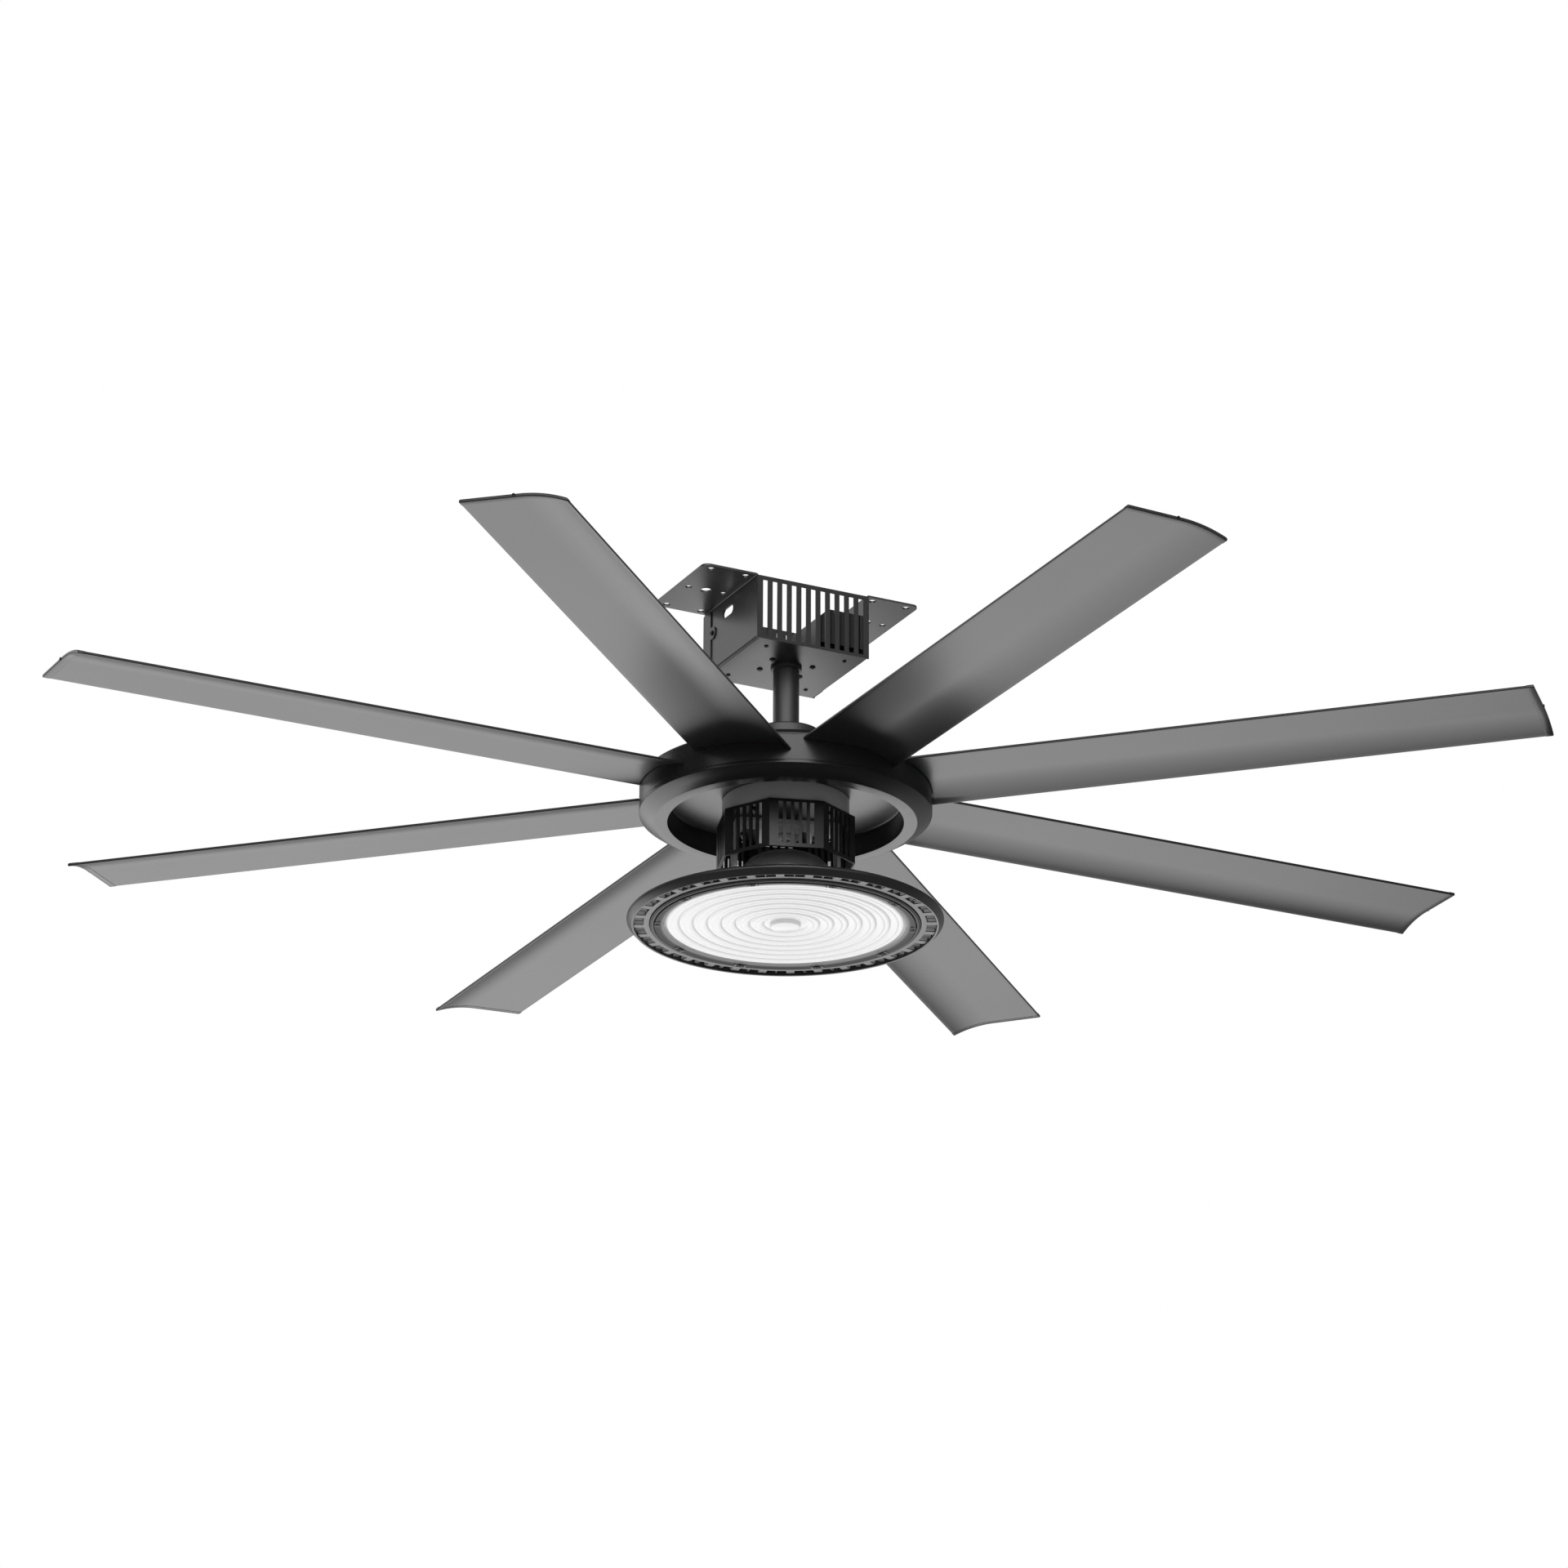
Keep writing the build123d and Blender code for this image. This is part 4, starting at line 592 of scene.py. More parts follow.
def screw_tree():
    """Sets the pattern on every point, turned to its facing and scaled to its size."""
    inputs = (("Pattern", "Object"), ("Finish", "Material"), ("Seed", "Int"))
    graph, (points, shape, coat, seed) = new_tree("set_screws", *inputs)
    facing, size = (
        graph.node("GeometryNodeInputNamedAttribute", {"data_type": kind}, {"Name": name})
        for kind, name in (("FLOAT_VECTOR", "facing"), ("FLOAT", "size"))
    )
    values = {"Min": 0.0, "Max": 1.04, "Seed": seed}
    spin = graph.node("FunctionNodeRandomValue", {"data_type": "FLOAT"}, values, out=1)
    up = graph.node("FunctionNodeAlignRotationToVector", {"axis": "Z"}, {"Vector": facing})
    values = {"Rotation": up, "Rotate By": twisted(graph, spin)}
    spun = graph.node("FunctionNodeRotateRotation", {"rotation_space": "LOCAL"}, values)
    return set_pattern(graph, points, shape, coat, spun, Scale=size)


# Mesh helpers


def linked(name, data):
    """A new object in the scene."""
    obj = bpy.data.objects.new(name, data)
    bpy.context.scene.collection.objects.link(obj)
    return obj


def piece(mesh, body, finish, slot, *nodes):
    """Puts a finished mesh on its body, in place of the CAD nodes it stands for."""
    obj = linked(mesh.name, mesh)
    mesh.materials.clear()
    mesh.materials.append(FINISHES[finish])
    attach(obj, body)
    if nodes:
        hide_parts(*nodes)


def patterned(mesh, tree, pattern, finish, inputs):
    """A plain mesh that a node tree makes from a mesh and a pattern."""
    holder = bpy.data.objects.new("pattern", pattern)
    obj = linked(mesh.name, mesh)
    inputs = {"Pattern": holder, "Finish": FINISHES[finish], **inputs}
    add_modifier(obj, mesh.name, tree, inputs)
    bpy.context.view_layer.update()
    seen = obj.evaluated_get(bpy.context.evaluated_depsgraph_get())
    made = bpy.data.meshes.new_from_object(seen)
    name = mesh.name
    bpy.data.objects.remove(obj)
    bpy.data.objects.remove(holder)
    bpy.data.meshes.remove(mesh)
    made.name = name
    return made


def close(bm, name, crease):
    """Turns the faces outward and makes the mesh, smooth up to the crease."""
    bmesh.ops.recalc_face_normals(bm, faces=bm.faces)
    mesh = bpy.data.meshes.new(name)
    bm.to_mesh(mesh)
    bm.free()
    mesh.polygons.foreach_set("use_smooth", [True] * len(mesh.polygons))
    mesh.set_sharp_from_angle(angle=crease)
    return mesh


def band_faces(bm, low, high):
    """Faces between two rings of points."""
    for i in range(len(low)):
        j = (i + 1) % len(low)
        bm.faces.new((low[i], low[j], high[j], high[i]))


def skin(bm, rings):
    """Faces over a solid from rings of points, with both ends closed."""
    for low, high in zip(rings, rings[1:]):
        band_faces(bm, low, high)
    bm.faces.new(rings[0])
    bm.faces.new(rings[-1])


def joined(name, crease, *meshes):
    """One closed mesh of several."""
    bm = bmesh.new()
    for mesh in meshes:
        bm.from_mesh(mesh)
    return close(bm, name, crease)


def lathe(name, outline, steps, crease):
    """A closed solid of revolution from an outline of radius and height."""
    bm = bmesh.new()
    loops = []
    for step in range(steps):
        turn = 2 * math.pi * step / steps
        across, ahead = math.cos(turn), math.sin(turn)
        loops.append([bm.verts.new((r * across, r * ahead, z)) for r, z in outline])
    for here, following in zip(loops, loops[1:] + loops[:1]):
        band_faces(bm, here, following)
    bmesh.ops.remove_doubles(bm, verts=bm.verts, dist=1e-7)
    return close(bm, name, crease)


ROUND_STEPS = 4


def turned(name, corners, steps, crease):
    """A turned piece from corners of radius, height and rounding, all in millimetres."""
    outline = []
    count = len(corners)
    for index, (r, z, soft) in enumerate(corners):
        here = Vector((r, z)) * MM
        if not soft:
            outline.append(tuple(here))
            continue
        ends = []
        for other in (corners[index - 1], corners[(index + 1) % count]):
            away = Vector(other[:2]) * MM - here
            ends.append(here + away.normalized() * min(soft * MM, away.length * 0.49))
        for step in range(ROUND_STEPS + 1):
            t = step / ROUND_STEPS
            outline.append(tuple(ends[0].lerp(here, t).lerp(here.lerp(ends[1], t), t)))
    return lathe(name, outline, steps, crease)


def dress_nodes(sizes):
    """Gives every CAD node its material and smooth shading."""
    tree = soften_tree()
    inputs = {"Merge": WELD, "Crease": sizes.crease}
    for finish, nodes in NODE_FINISHES.items():
        for node in nodes:
            obj = NODES[node]
            if not obj.material_slots:
                raise RuntimeError(f"{node} has no material slot")
            for slot in obj.material_slots:
                slot.material = FINISHES[finish]
            add_modifier(obj, "soften", tree, inputs)


# Blades


BLADE_PITCH = math.radians(6.79)
BLADE_Z = -250.5 * MM
HALF_CHORD = 61.0 * MM
FLAT_OUT = 5.0 * MM
FLAT_RISE = 5.9 * MM
EDGE = 3.4 * MM
HOLDER_TOP = 12.8 * MM
CAP_SCREW_RISE = 7.6 * MM
NOSE = 1.6 * MM
NOSE_POINTS = 8
ROOT_R = 175.3 * MM
ROOT_SOFT = 0.7 * MM
ROOT_RUN = 0.9 * MM
END_R = 904.0 * MM
TIP_R = 913.0 * MM
LIP = 0.3 * MM


def under_height(x):
    """Height of the blade's underside: straight from the leading edge, then an arc."""
    if x < FLAT_OUT:
        return FLAT_RISE * (x + HALF_CHORD) / (FLAT_OUT + HALF_CHORD)
    slope = math.atan2(FLAT_RISE, HALF_CHORD + FLAT_OUT)
    run = HALF_CHORD - FLAT_OUT
    turn = slope + math.atan2(FLAT_RISE, run)
    radius = math.hypot(run, FLAT_RISE) / math.sin(turn) / 2
    off = x - FLAT_OUT - radius * math.sin(slope)
    return FLAT_RISE - radius * math.cos(slope) + math.sqrt(radius * radius - off * off)


def bend(start, corner, end):
    """Points of a smooth bend from start to end that heads for a corner."""
    points = []
    for t in (0.25, 0.5, 0.75):
        first = Vector(start).lerp(Vector(corner), t)
        points.append(tuple(first.lerp(Vector(corner).lerp(Vector(end), t), t)))
    return points


def blade_section(steps, grow=0.0):
    """The blade's closed outline: both skins with rounded edges, grown or shrunk all round."""
    edge = HALF_CHORD + grow
    inset = edge - NOSE
    places = [inset * (2 * step / steps - 1) for step in range(steps + 1)]
    under = [(x, under_height(x) - grow) for x in places]
    over = [(x, under_height(x) + EDGE + grow) for x in reversed(places)]
    low = min(NOSE - grow, EDGE / 2 - 0.05 * MM)
    high = EDGE - low
    right = bend(under[-1], (edge, -grow), (edge, low)) + [(edge, low), (edge, high)]
    right += bend((edge, high), (edge, EDGE + grow), over[0])
    left = bend(over[-1], (-edge, EDGE + grow), (-edge, high)) + [(-edge, high), (-edge, low)]
    left += bend((-edge, low), (-edge, -grow), under[0])
    return under + right + over + left


def blade_axes(index):
    """Directions of one blade: across its chord, up through its thickness and outwards."""
    turn = 2 * math.pi * index / BLADE_COUNT
    out = Vector((math.cos(turn), math.sin(turn), 0.0))
    side = Vector((-math.sin(turn), math.cos(turn), 0.0))
    across = side * math.cos(BLADE_PITCH) + Vector((0, 0, -math.sin(BLADE_PITCH)))
    return across, out.cross(across), out


def blade_point(axes, x, y, radius):
    across, up, out = axes
    return Vector((0, 0, BLADE_Z)) + across * x + up * y + out * radius


def skin_mesh(name, index, rows, crease):
    """A closed mesh along one blade from rows of outline points and their radii."""
    axes = blade_axes(index)
    bm = bmesh.new()
    lay = bm.loops.layers.uv.new("UVMap")
    rings = [[bm.verts.new(blade_point(axes, x, y, r)) for (x, y), r in zip(*row)] for row in rows]
    section = rows[1][0]
    around_skin = [0.0]
    for here, following in zip(section, section[1:] + section[:1]):
        around_skin.append(around_skin[-1] + math.dist(here, following))
    for inner, outer, (_, low), (_, high) in zip(rings, rings[1:], rows, rows[1:]):
        for i, (here, there) in enumerate(zip(around_skin, around_skin[1:])):
            j = (i + 1) % len(section)
            face = bm.faces.new((inner[i], inner[j], outer[j], outer[i]))
            places = (here, low[i]), (there, low[j]), (there, high[j]), (here, high[i])
            for loop, place in zip(face.loops, places):
                loop[lay].uv = place
    for ring in (rings[0], rings[-1]):
        close_end(bm, ring)
    return close(bm, name, crease)


def close_end(bm, ring):
    """Faces over one end of a blade: a strip between the skins and one face in each edge."""
    across = len(ring) // 2 - NOSE_POINTS
    under, right = ring[:across], ring[across : across + NOSE_POINTS]
    over = ring[across + NOSE_POINTS : -NOSE_POINTS][::-1]
    for i in range(across - 1):
        bm.faces.new((under[i], under[i + 1], over[i + 1], over[i]))
    bm.faces.new((under[-1], *right, over[-1]))
    bm.faces.new((over[0], *ring[-NOSE_POINTS:], under[0]))


def coped_row(index, section):
    """Radii at which the section's points meet the drum's round wall."""
    axes = blade_axes(index)
    row = []
    for x, y in section:
        side = blade_point(axes, x, y, 0.0).dot(axes[2].cross(Vector((0, 0, 1))))
        row.append(math.sqrt(ROOT_R * ROOT_R - side * side))
    return row


def make_blades(sizes):
    """The eight arched blades, with a softened edge where they meet the drum."""
    full = blade_section(sizes.blade_steps)
    small = blade_section(sizes.blade_steps, -ROOT_SOFT)
    for index in range(BLADE_COUNT):
        root = coped_row(index, full)
        rows = [(small, root)]
        for step in range(sizes.blade_rings + 1):
            t = step / sizes.blade_rings
            rows.append((full, [r + ROOT_RUN + (END_R - r - ROOT_RUN) * t for r in root]))
        mesh = skin_mesh(f"blade_skin_{index + 1}", index, rows, sizes.crease)
        piece(mesh, TURNING, "blade", "blade_aluminium", f"blade_{index + 1}")


def make_caps(sizes):
    """The moulded caps that close the blades' tips."""
    rows = []
    for grow, radius in (
        (LIP - 0.4 * MM, END_R),
        (LIP, END_R + 0.5 * MM),
        (LIP, TIP_R - 0.9 * MM),
        (LIP - 0.4 * MM, TIP_R - 0.25 * MM),
        (LIP - 0.9 * MM, TIP_R),
    ):
        outline = blade_section(sizes.blade_steps, grow)
        rows.append((outline, [radius] * len(outline)))
    for index in range(BLADE_COUNT):
        mesh = skin_mesh(f"blade_end_{index + 1}", index, rows, sizes.crease)
        piece(mesh, TURNING, "cap", "cap_plastic", f"blade_cap_{index + 1}")


# Hub and lamp: outlines are corners of radius, height and rounding in millimetres.


TURNED_CREASE = math.radians(18)
FINE_CREASE = math.radians(24)
DRUM_WALL = ((175, -268.5, 0.5), (175, -237, 0.5), (169, -237, 0.3), (169, -268.5, 0.3))
DRUM_BOTTOM = (
    (175, -268.5, 0.4), (175, -272.5, 0.5), (166.6, -278.4, 4.0), (157, -283.5, 0.6),
    (141, -283.5, 0.6), (141, -254.5, 4.0), (20, -254.5, 0.3), (20, -251.5, 0.2),
    (26, -251.5, 0.2), (26, -236.5, 0.3), (31, -236.5, 0.3), (31, -251.5, 0.5),
    (144, -251.5, 0.5), (144, -280.5, 0.5), (155.5, -280.5, 0.5), (172, -271, 0.5),
    (172, -268.5, 0.3),
)


def arc(radius, start, end, steps):
    """Corners along the rounding of the drum's top, from one angle in degrees to another."""
    turns = [math.radians(start + (end - start) * step / steps) for step in range(steps + 1)]
    return [(166.5 + radius * math.cos(t), -237 + radius * math.sin(t), 0) for t in turns]


def drum_top():
    """Outline of the drum's top cover, with its rounded shoulder."""
    outer = [(86.3, DRUM_TOP_Z, 0.4), *arc(8.5, 90, 0, 8)[:-1], (175, -237, 0.4)]
    return [*outer, (172, -237, 0.2), *arc(5.5, 0, 90, 6)[1:], (86.3, -231.5, 0.3)]


def make_hub(sizes):
    """The drum: its wall, its top and its chamfered bottom with the round recess."""
    for name, corners, finish, node in (
        ("drum_wall", DRUM_WALL, "hub", "hub_ring"),
        ("drum_top", drum_top(), "hub", "hub_top_cover"),
        ("drum_bottom", DRUM_BOTTOM, "recess", "hub_bottom_cover"),
    ):
        mesh = turned(name, corners, sizes.lathe_steps, TURNED_CREASE)
        piece(mesh, TURNING, finish, "hub_paint", node)


LENS_UNDER_Z = -412.6 * MM
LENS_TOP_Z = -409.6 * MM
LENS_R = 150.0 * MM
LENS_SEEN_R = 143.5 * MM
RINGS_IN_R = 25.1 * MM
RINGS_OUT_R = 141.8 * MM
RINGS_DEPTH = 2.3 * MM
BUTTON_R = 18.0 * MM
BUTTON_Z = -415.4 * MM

# One raised ring: share of the pitch, share of the depth
RING_SHAPE = (
    (0.0, 1.0), (0.05, 0.74), (0.16, 0.42), (0.3, 0.18), (0.42, 0.12), (0.52, 0.22),
    (0.56, 0.38), (0.6, 0.34), (0.72, 0.22), (0.84, 0.3), (0.93, 0.6),
)

VENT_COUNT = 32
FIN_COUNT = 64
VENT_TURN = math.radians(4.9)
CASTING_DISC = (
    (0, -403.5, 0), (161.2, -403.5, 0.3), (161.2, -411.7, 0.4), (167.9, -411.7, 0.4),
    (167.9, -397.6, 0.4), (164.5, -396.5, 1.0), (88, -396.5, 1.5), (88, -390.5, 0.8),
    (0, -390.5, 0),
)
CASTING_RIM = (
    (179.6, -413.4, 0.3), (179.6, -400.8, 0.4), (185.5, -402.5, 0.8), (188, -404.7, 0.8),
    (188, -407.2, 1.2), (181.8, -414.0, 0.5),
)

# Upright plates: radius, height and thickness of each corner. A fin ends in a narrow foot.
FIN_FOOT_Z = -410.7
RIB = ((167.5, -411.66, 9.7), (180.0, -411.66, 9.7), (180.0, -401.0, 9.7), (167.5, -397.8, 9.7))
FIN = (
    (92, -398, 2.2), (92, -368.5, 2.2), (180.0, -400.0, 2.2), (180.0, FIN_FOOT_Z, 2.2),
    (167.6, FIN_FOOT_Z, 2.2), (167.6, -398, 2.2),
)
FIN_FOOT = (
    (167.6, FIN_FOOT_Z, 2.2), (180.0, FIN_FOOT_Z, 2.2), (180.0, -411.4, 0.8),
    (167.6, -411.4, 0.8),
)

RETAINER_R = 145.0
RETAINER_Z = -412.8
RETAINER_SLOPE = 0.2083
RETAINER = (
    (143.5, -412.7, 0.15), (RETAINER_R, RETAINER_Z, 0.5), (154.6, -414.8, 0.3),
    (154.9, -412.6, 0.2), (155.7, -412.6, 0.2), (156.0, -413.8, 0.3), (158.2, -413.8, 0.3),
    (158.7, -413.1, 0.3), (160.5, -413.0, 0.3), (160.5, -403.6, 0.3), (150.5, -403.6, 0.3),
    (150.5, -412.65, 0.1), (143.5, -412.65, 0.0),
)
CLIP_COUNT = 10
CLIP_TURN = 12.4
CLIP_R = 151.8
CLIP_BOTTOM = -415.0
CLIP_LEVELS = ((-413.0, 0.0), (-414.7, 0.0), (CLIP_BOTTOM, 0.3))
CLIP_WIDTH = 7.4
CLIP_BLOCKS = ((-6.3, 2.6), (0.0, 6.6), (6.3, 2.6))
CLIP_STANDS = 0.08
CLIP_SHARPNESS = 20000
BLOCK_COSINE = 0.965
BLOCK_SHARPNESS = 60


def make_lens(sizes):
    """The opal lens: a round button that stands out, then raised rings with sharp valleys."""
    pitch = (RINGS_OUT_R - RINGS_IN_R) / sizes.lens_rings
    under, depth = LENS_UNDER_Z, RINGS_DEPTH
    outline = [
        (0.0, BUTTON_Z),
        (BUTTON_R - 1.8 * MM, BUTTON_Z),
        (BUTTON_R - 0.5 * MM, BUTTON_Z + 0.5 * MM),
        (BUTTON_R, BUTTON_Z + 1.4 * MM),
        (BUTTON_R + 0.4 * MM, under + 0.9 * depth),
        (BUTTON_R + 3.5 * MM, under + 0.8 * depth),
    ]
    for ring in range(sizes.lens_rings):
        start = RINGS_IN_R + pitch * ring
        outline += [(start + pitch * along, under + depth * deep) for along, deep in RING_SHAPE]
    outline += [(RINGS_OUT_R, under + depth), (LENS_SEEN_R, under), (LENS_R, under)]
    outline += [(LENS_R, LENS_TOP_Z), (0.0, LENS_TOP_Z)]
    mesh = lathe("prismatic_lens", outline, sizes.lathe_steps, FINE_CREASE)
    piece(mesh, FIXED, "lens", "lens_plastic", "lamp_lens")


def on_rays(name, pattern, finish, count, turn):
    """A plain mesh of one pattern mesh set on equal rays."""
    inputs = {"Count": count, "Turn": turn}
    return patterned(bpy.data.meshes.new(name), ray_tree(), pattern, finish, inputs)


def upright(*plates):
    """Plates on the ray of azimuth nought, from corners of radius, height and thickness."""
    bm = bmesh.new()
    for corners in plates:
        sides = []
        for half in (-0.5, 0.5):
            places = [Vector((r, half * wide, z)) * MM for r, z, wide in corners]
            sides.append([bm.verts.new(place) for place in places])
            bm.faces.new(sides[-1])
        band_faces(bm, *sides)
    return close(bm, "upright_plates", FINE_CREASE)


def make_casting(sizes):
    """The lamp's casting: disc, vent ring with its ribs, radial fins and the rim with its lip."""
    steps = sizes.lathe_steps
    mesh = joined(
        "lamp_casting",
        TURNED_CREASE,
        turned("casting_disc", CASTING_DISC, steps, TURNED_CREASE),
        turned("casting_rim", CASTING_RIM, steps, TURNED_CREASE),
        on_rays("casting_ribs", upright(RIB), "lamp", VENT_COUNT, VENT_TURN),
        on_rays("casting_fins", upright(FIN, FIN_FOOT), "lamp", FIN_COUNT, VENT_TURN),
    )
    piece(mesh, FIXED, "lamp", "lamp_paint", "lamp_heat_sink")


def clip_mesh():
    """One clip of the retainer: a block between two tabs, with softened lower edges."""
    bm = bmesh.new()
    for along, breadth in CLIP_BLOCKS:
        rings = []
        for z, inset in CLIP_LEVELS:
            ring = []
            for a, b in ((-1, -1), (1, -1), (1, 1), (-1, 1)):
                x = CLIP_R + a * (CLIP_WIDTH / 2 - inset)
                y = along + b * (breadth / 2 - inset)
                ring.append(bm.verts.new(Vector((x, y, z)) * MM))
            rings.append(ring)
        skin(bm, rings)
    return close(bm, "clip_pattern", FINE_CREASE)


def make_retainer(sizes):
    """The moulded ring that holds the lens, with a clip at each of its ten screws."""
    ring = turned("retainer_ring", RETAINER, sizes.lathe_steps, FINE_CREASE)
    turn = math.radians(CLIP_TURN)
    clips = on_rays("retainer_clips", clip_mesh(), "retainer", CLIP_COUNT, turn)
    mesh = joined("lens_ring_with_clips", FINE_CREASE, ring, clips)
    piece(mesh, FIXED, "retainer", "retainer_plastic", "lens_retainer")


# Screws


# Radius, height and whether it is a hexagon, for each ring of a screw whose head's radius is one
SCREW_RINGS = (
    (0.52, -2.0, False), (0.56, -1.8, False), (0.56, 0.0, False), (0.97, 0.0, True),
    (0.97, 0.30, True), (0.80, 0.42, False), (0.47, 0.42, False), (0.44, 0.14, True),
)
DOWN = Vector((0, 0, -1))
UP = Vector((0, 0, 1))
RIGHT = Vector((1, 0, 0))
YOKE_TURN = -17.3
PLATE_Z = -83.5
DRUM_TOP_Z = -228.5
DRUM_BOTTOM_Z = -283.5


def screw_mesh(steps):
    """One hex screw with a chamfered head, a socket and a shank."""
    bm = bmesh.new()
    loops = []
    for radius, z, hexagon in SCREW_RINGS:
        loop = []
        for step in range(steps):
            turn = 2 * math.pi * step / steps
            flat = (turn + math.pi / 6) % (math.pi / 3) - math.pi / 6
            r = radius * math.cos(math.pi / 6) / math.cos(flat) if hexagon else radius
            loop.append(bm.verts.new((r * math.cos(turn), r * math.sin(turn), z)))
        loops.append(loop)
    skin(bm, loops)
    return close(bm, "screw_pattern", FINE_CREASE)


def around(radius, turn, z):
    """A point in millimetres at a radius, a turn in degrees and a height."""
    turn = math.radians(turn)
    return Vector((radius * math.cos(turn), radius * math.sin(turn), z))


def fixed_screws():
    """Place, facing and head radius of every screw on the fixed body."""
    spots = []
    for x in (-1, 1):
        for y in (-1, 1):
            spots.append((Vector((52.5 * x, 51.2 * y, PLATE_Z)), DOWN, 2.7))
            spots.append((Vector((27 * x, 17 * y, PLATE_Z)), DOWN, 3.7))
        spots.append((Vector((76.5 * x, 48, -34.5)), RIGHT * x, 3.4))
        spots.append((Vector((75, -14 + 34 * x, -45.5)), RIGHT, 3.4))
    for index in range(4):
        spots.append((around(62, YOKE_TURN + 45 + 90 * index, DRUM_BOTTOM_Z), DOWN, 4.3))
    for index in range(2):
        spots.append((around(75, YOKE_TURN + 180 * index, -386.5), UP, 4.3))
    for index in range(CLIP_COUNT):
        turn = CLIP_TURN + 360 / CLIP_COUNT * index
        spots.append((around(CLIP_R, turn, CLIP_BOTTOM), DOWN, 1.1))
    return spots


def turning_screws():
    """Place, facing and head radius of every screw on the rotor."""
    spots = []
    for index in range(BLADE_COUNT):
        turn = 360 / BLADE_COUNT * index
        spots.append((around(95, turn, -224.5), UP, 5.2))
        out, side = around(1, turn, 0), around(1, turn + 90, 0)
        for across in (-18, 18):
            spots.append((out * 138 + side * across + UP * DRUM_TOP_Z, UP, 4.6))
        axes = blade_axes(index)
        for radius in (205, 300):
            spots.append((blade_point(axes, 0, HOLDER_TOP, radius * MM) / MM, axes[1], 3.0))
        spots.append((blade_point(axes, 0, CAP_SCREW_RISE, TIP_R) / MM, out, 2.2))
    return spots


def make_screws(sizes):
    """One mesh of screws for each body."""
    for name, spots, body, seed, nodes in (
        ("fixed_screws", fixed_screws(), FIXED, 3, FIXED_SCREWS),
        ("rotor_screws", turning_screws(), TURNING, 5, TURNING_SCREWS),
    ):
        mesh = bpy.data.meshes.new(name)
        mesh.from_pydata([tuple(place * MM) for place, _, _ in spots], [], [])
        mesh.attributes.new("facing", "FLOAT_VECTOR", "POINT")
        mesh.attributes.new("size", "FLOAT", "POINT")
        for index, (_, towards, radius) in enumerate(spots):
            mesh.attributes["facing"].data[index].vector = towards
            mesh.attributes["size"].data[index].value = radius * MM
        pattern = screw_mesh(sizes.screw_steps)
        made = patterned(mesh, screw_tree(), pattern, "screw", {"Seed": seed})
        piece(made, body, "screw", "dark_fastener", *nodes)


# Studio


CAMERA_PLACE = (-2.67043, -5.29394, -2.4994)
CENTRE_Z = -0.25

# Name, direction along the view, to its right and up, distance, width, height, level, round
SOFTBOXES = (
    ("round_softbox", (0.74, -0.25, -0.62), 7.5, 10.1, 10.1, "key_level", True),
    ("front_softbox", (-1.0, 0.0, 0.38), 7.0, 9.0, 5.0, "front_level", False),
    ("wide_softbox", (-1.0, 0.0, 0.38), 7.4, 22.0, 6.0, "wide_level", False),
    ("side_softbox", (0.6, -0.8, 0.38), 7.0, 4.5, 3.0, "side_level", False),
)
WHITE = (1.0, 1.0, 1.0, 1.0)
GLOW_LEAST = 0.015
GLOW_FROM = 0.3
GLOW_GAIN = 2.0
FLOOR_GLOW = 0.35
FLOOR_R = 300.0


def heading(studio):
    """The level direction of the camera's view and the direction to its right."""
    turn = studio.camera_turn
    ahead = Vector((-math.sin(turn), math.cos(turn), 0.0))
    return ahead, Vector((ahead.y, -ahead.x, 0.0))


def make_camera(studio):
    """The camera that took the photograph, as fitted to it."""
    data = bpy.data.cameras.new("photo_camera")
    data.sensor_width = 36.0
    data.lens = studio.camera_focal
    data.clip_end = 400.0
    camera = linked("photo_camera", data)
    ahead, right = heading(studio)
    tilt, roll = studio.camera_tilt, studio.camera_roll
    view = ahead * math.cos(tilt) + Vector((0, 0, math.sin(tilt)))
    up = right.cross(view)
    side = right * math.cos(roll) + up * math.sin(roll)
    top = up * math.cos(roll) - right * math.sin(roll)
    rows = [(side[i], top[i], -view[i], CAMERA_PLACE[i]) for i in range(3)]
    camera.matrix_world = Matrix((*rows, (0, 0, 0, 1)))
    bpy.context.scene.camera = camera


def glow(graph, spot, studio):
    """How bright the surroundings show in gloss: most on the far side, little by the camera."""
    unit = graph.node("ShaderNodeVectorMath", {"operation": "NORMALIZE"}, {0: spot})
    values = {0: unit, 1: tuple(heading(studio)[0])}
    facing = graph.node("ShaderNodeVectorMath", {"operation": "DOT_PRODUCT"}, values, out="Value")
    return GLOW_LEAST + ((facing - GLOW_FROM) * GLOW_GAIN).clamped() * studio.mirrored


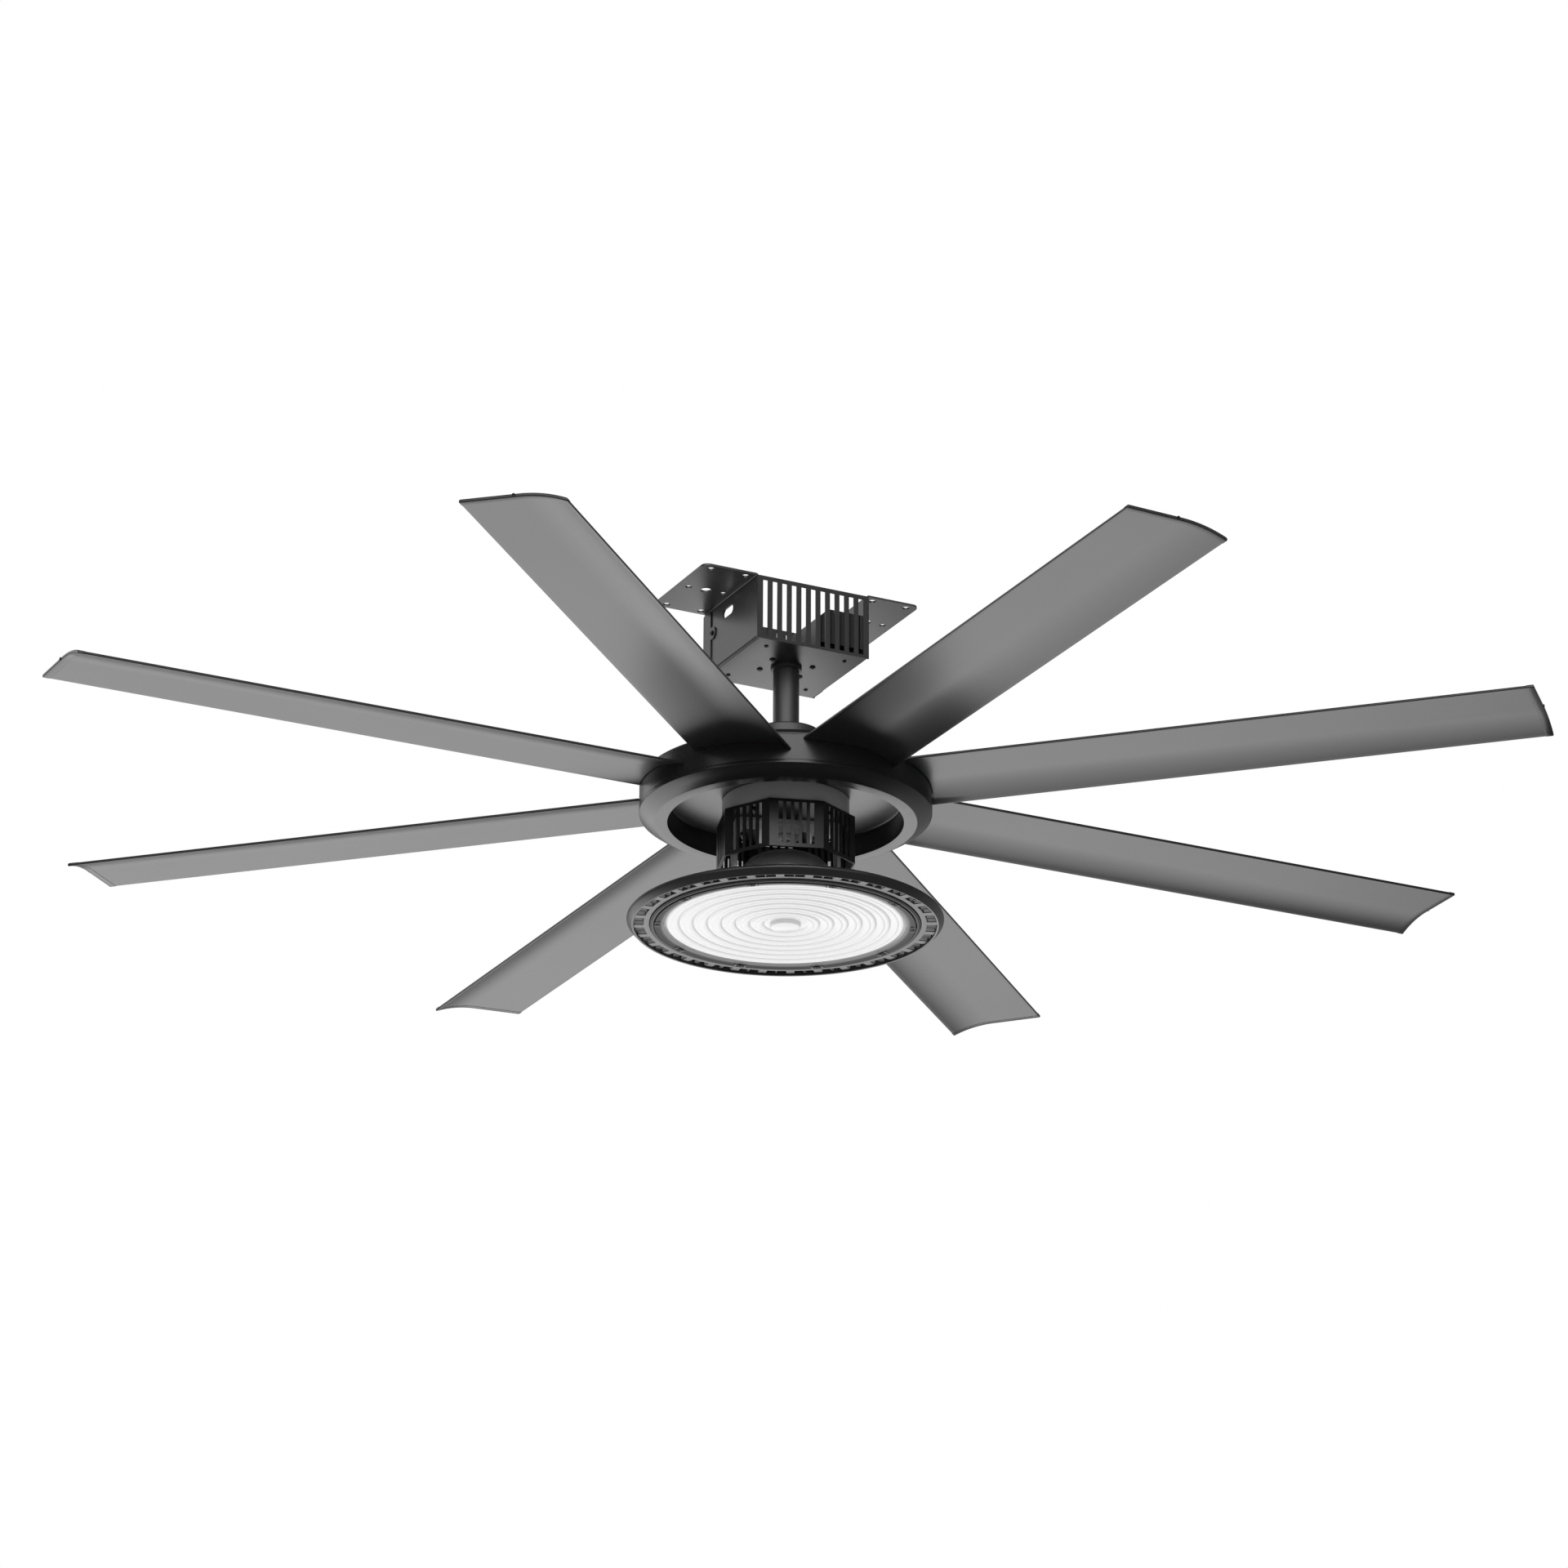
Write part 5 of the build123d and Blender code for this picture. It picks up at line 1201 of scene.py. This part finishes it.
def make_floor(studio):
    """A wide pale floor that keeps the shadow and shows white."""
    bm = bmesh.new()
    bmesh.ops.create_circle(bm, cap_ends=True, cap_tris=True, segments=64, radius=FLOOR_R)
    mesh = bpy.data.meshes.new("studio_floor")
    bm.to_mesh(mesh)
    bm.free()
    floor = linked("studio_floor", mesh)
    floor.location.z = -studio.floor_drop
    material = bpy.data.materials.new("studio_floor_pale")
    material.use_nodes = True
    graph = Graph(material.node_tree)
    shader = graph.tree.nodes["Principled BSDF"]
    shader.inputs["Base Color"].default_value = (0.8, 0.8, 0.8, 1.0)
    shader.inputs["Roughness"].default_value = 0.9
    shader.inputs["Emission Color"].default_value = WHITE
    seen, glossy = graph.split("ShaderNodeLightPath", None, "Is Camera Ray", "Is Glossy Ray")
    graph.fill(shader.inputs["Emission Strength"], seen * FLOOR_GLOW)
    place = graph.node("ShaderNodeTexCoord", out="Object")
    values = {0: place, 1: (0.0, 0.0, -CENTRE_Z - studio.floor_drop)}
    spot = graph.node("ShaderNodeVectorMath", {"operation": "ADD"}, values)
    mirrored = graph.node("ShaderNodeEmission", None, {"Strength": glow(graph, spot, studio)})
    values = {0: glossy, 1: Value(graph, shader.outputs[0]), 2: mirrored}
    both = graph.node("ShaderNodeMixShader", None, values)
    graph.fill(graph.tree.nodes["Material Output"].inputs["Surface"], both)
    mesh.materials.append(material)


def make_lights(studio):
    """Softboxes that face the fan; their levels are their brightness, where one is white."""
    ahead, right = heading(studio)
    centre = Vector((0, 0, CENTRE_Z))
    for name, (along, beside, above), distance, width, height, level, is_round in SOFTBOXES:
        way = (ahead * along + right * beside + UP * above).normalized()
        data = bpy.data.lights.new(name, "AREA")
        data.shape = "ELLIPSE" if is_round else "RECTANGLE"
        data.size = width
        data.size_y = height
        area = width * height * (math.pi / 4 if is_round else 1)
        data.energy = getattr(studio, level) * math.pi * area
        lamp = linked(name, data)
        lamp.location = centre + way * distance
        lamp.rotation_mode = "QUATERNION"
        lamp.rotation_quaternion = (-way).to_track_quat("-Z", "Y")
        lamp.visible_camera = False


def make_world(studio):
    """A plain world that shows white to the camera and dims in gloss towards the camera."""
    world = bpy.data.worlds.new("studio_world")
    world.use_nodes = True
    bpy.context.scene.world = world
    graph = Graph(world.node_tree)
    rays = ("Is Camera Ray", "Is Glossy Ray", "Is Transmission Ray")
    camera, glossy, through = graph.split("ShaderNodeLightPath", None, *rays)
    look = graph.node("ShaderNodeTexCoord", out="Generated")
    white = (camera + through).clamped()
    plain = (1.0 - white - glossy).clamped()
    level = white + glossy * glow(graph, look, studio) + plain * studio.ambient
    background = graph.tree.nodes["Background"]
    graph.fill(background.inputs["Strength"], level)
    graph.fill(background.inputs["Color"], WHITE)
    bpy.context.scene.view_settings.view_transform = "Standard"


# Operators


class FanOperator:
    """A step of the dressing: its makers read one group of the settings."""

    bl_options = {"REGISTER", "UNDO"}
    group = "fan_sizes"

    def execute(self, context):
        for maker in self.makers:
            maker(getattr(context.scene, self.group))
        return {"FINISHED"}


class FAN_OT_finishes(FanOperator, bpy.types.Operator):
    """Make the materials"""

    bl_idname = "fan.finishes"
    bl_label = "Finishes"
    group = "fan_colours"
    makers = (make_finishes,)


class FAN_OT_nodes(FanOperator, bpy.types.Operator):
    """Give the CAD nodes their materials and smooth shading"""

    bl_idname = "fan.nodes"
    bl_label = "CAD nodes"
    makers = (dress_nodes,)


class FAN_OT_blades(FanOperator, bpy.types.Operator):
    """Build the eight blades and their end caps"""

    bl_idname = "fan.blades"
    bl_label = "Blades"
    makers = (make_blades, make_caps)


class FAN_OT_hub(FanOperator, bpy.types.Operator):
    """Build the drum's wall, top and bottom"""

    bl_idname = "fan.hub"
    bl_label = "Hub"
    makers = (make_hub,)


class FAN_OT_lens(FanOperator, bpy.types.Operator):
    """Build the lamp's casting, its lens and the ring that holds it"""

    bl_idname = "fan.lens"
    bl_label = "Lens"
    makers = (make_casting, make_lens, make_retainer)


class FAN_OT_screws(FanOperator, bpy.types.Operator):
    """Set all the screws with geometry nodes"""

    bl_idname = "fan.screws"
    bl_label = "Screws"
    makers = (make_screws,)


class FAN_OT_studio(FanOperator, bpy.types.Operator):
    """Set up the floor, the lights and the camera"""

    bl_idname = "fan.studio"
    bl_label = "Studio"
    group = "fan_studio"
    makers = (make_camera, make_floor, make_lights, make_world)


# Panel and registration


GROUPS = {"fan_colours": FanColours, "fan_sizes": FanSizes, "fan_studio": FanStudio}
PIECES = (FAN_OT_blades, FAN_OT_hub, FAN_OT_lens, FAN_OT_screws)
STEPS = (FAN_OT_finishes, FAN_OT_nodes, *PIECES, FAN_OT_studio)


class FAN_PT_panel(bpy.types.Panel):
    """Lists the fan's steps and settings"""

    bl_idname = "FAN_PT_panel"
    bl_label = "Ceiling fan"
    bl_space_type = "VIEW_3D"
    bl_region_type = "UI"
    bl_category = "Fan"

    def draw(self, context):
        for step in STEPS:
            self.layout.operator(step.bl_idname)
        for name, group in GROUPS.items():
            box = self.layout.box()
            for setting in group.__annotations__:
                box.prop(getattr(context.scene, name), setting)


CLASSES = (*GROUPS.values(), *STEPS, FAN_PT_panel)


def register():
    for item in CLASSES:
        bpy.utils.register_class(item)
    for name, group in GROUPS.items():
        setattr(bpy.types.Scene, name, PointerProperty(type=group))


def unregister():
    for name in GROUPS:
        delattr(bpy.types.Scene, name)
    for item in reversed(CLASSES):
        bpy.utils.unregister_class(item)


def main():
    register()
    for step in STEPS:
        group, name = step.bl_idname.split(".")
        getattr(getattr(bpy.ops, group), name)()


if __name__ == "__main__":
    main()
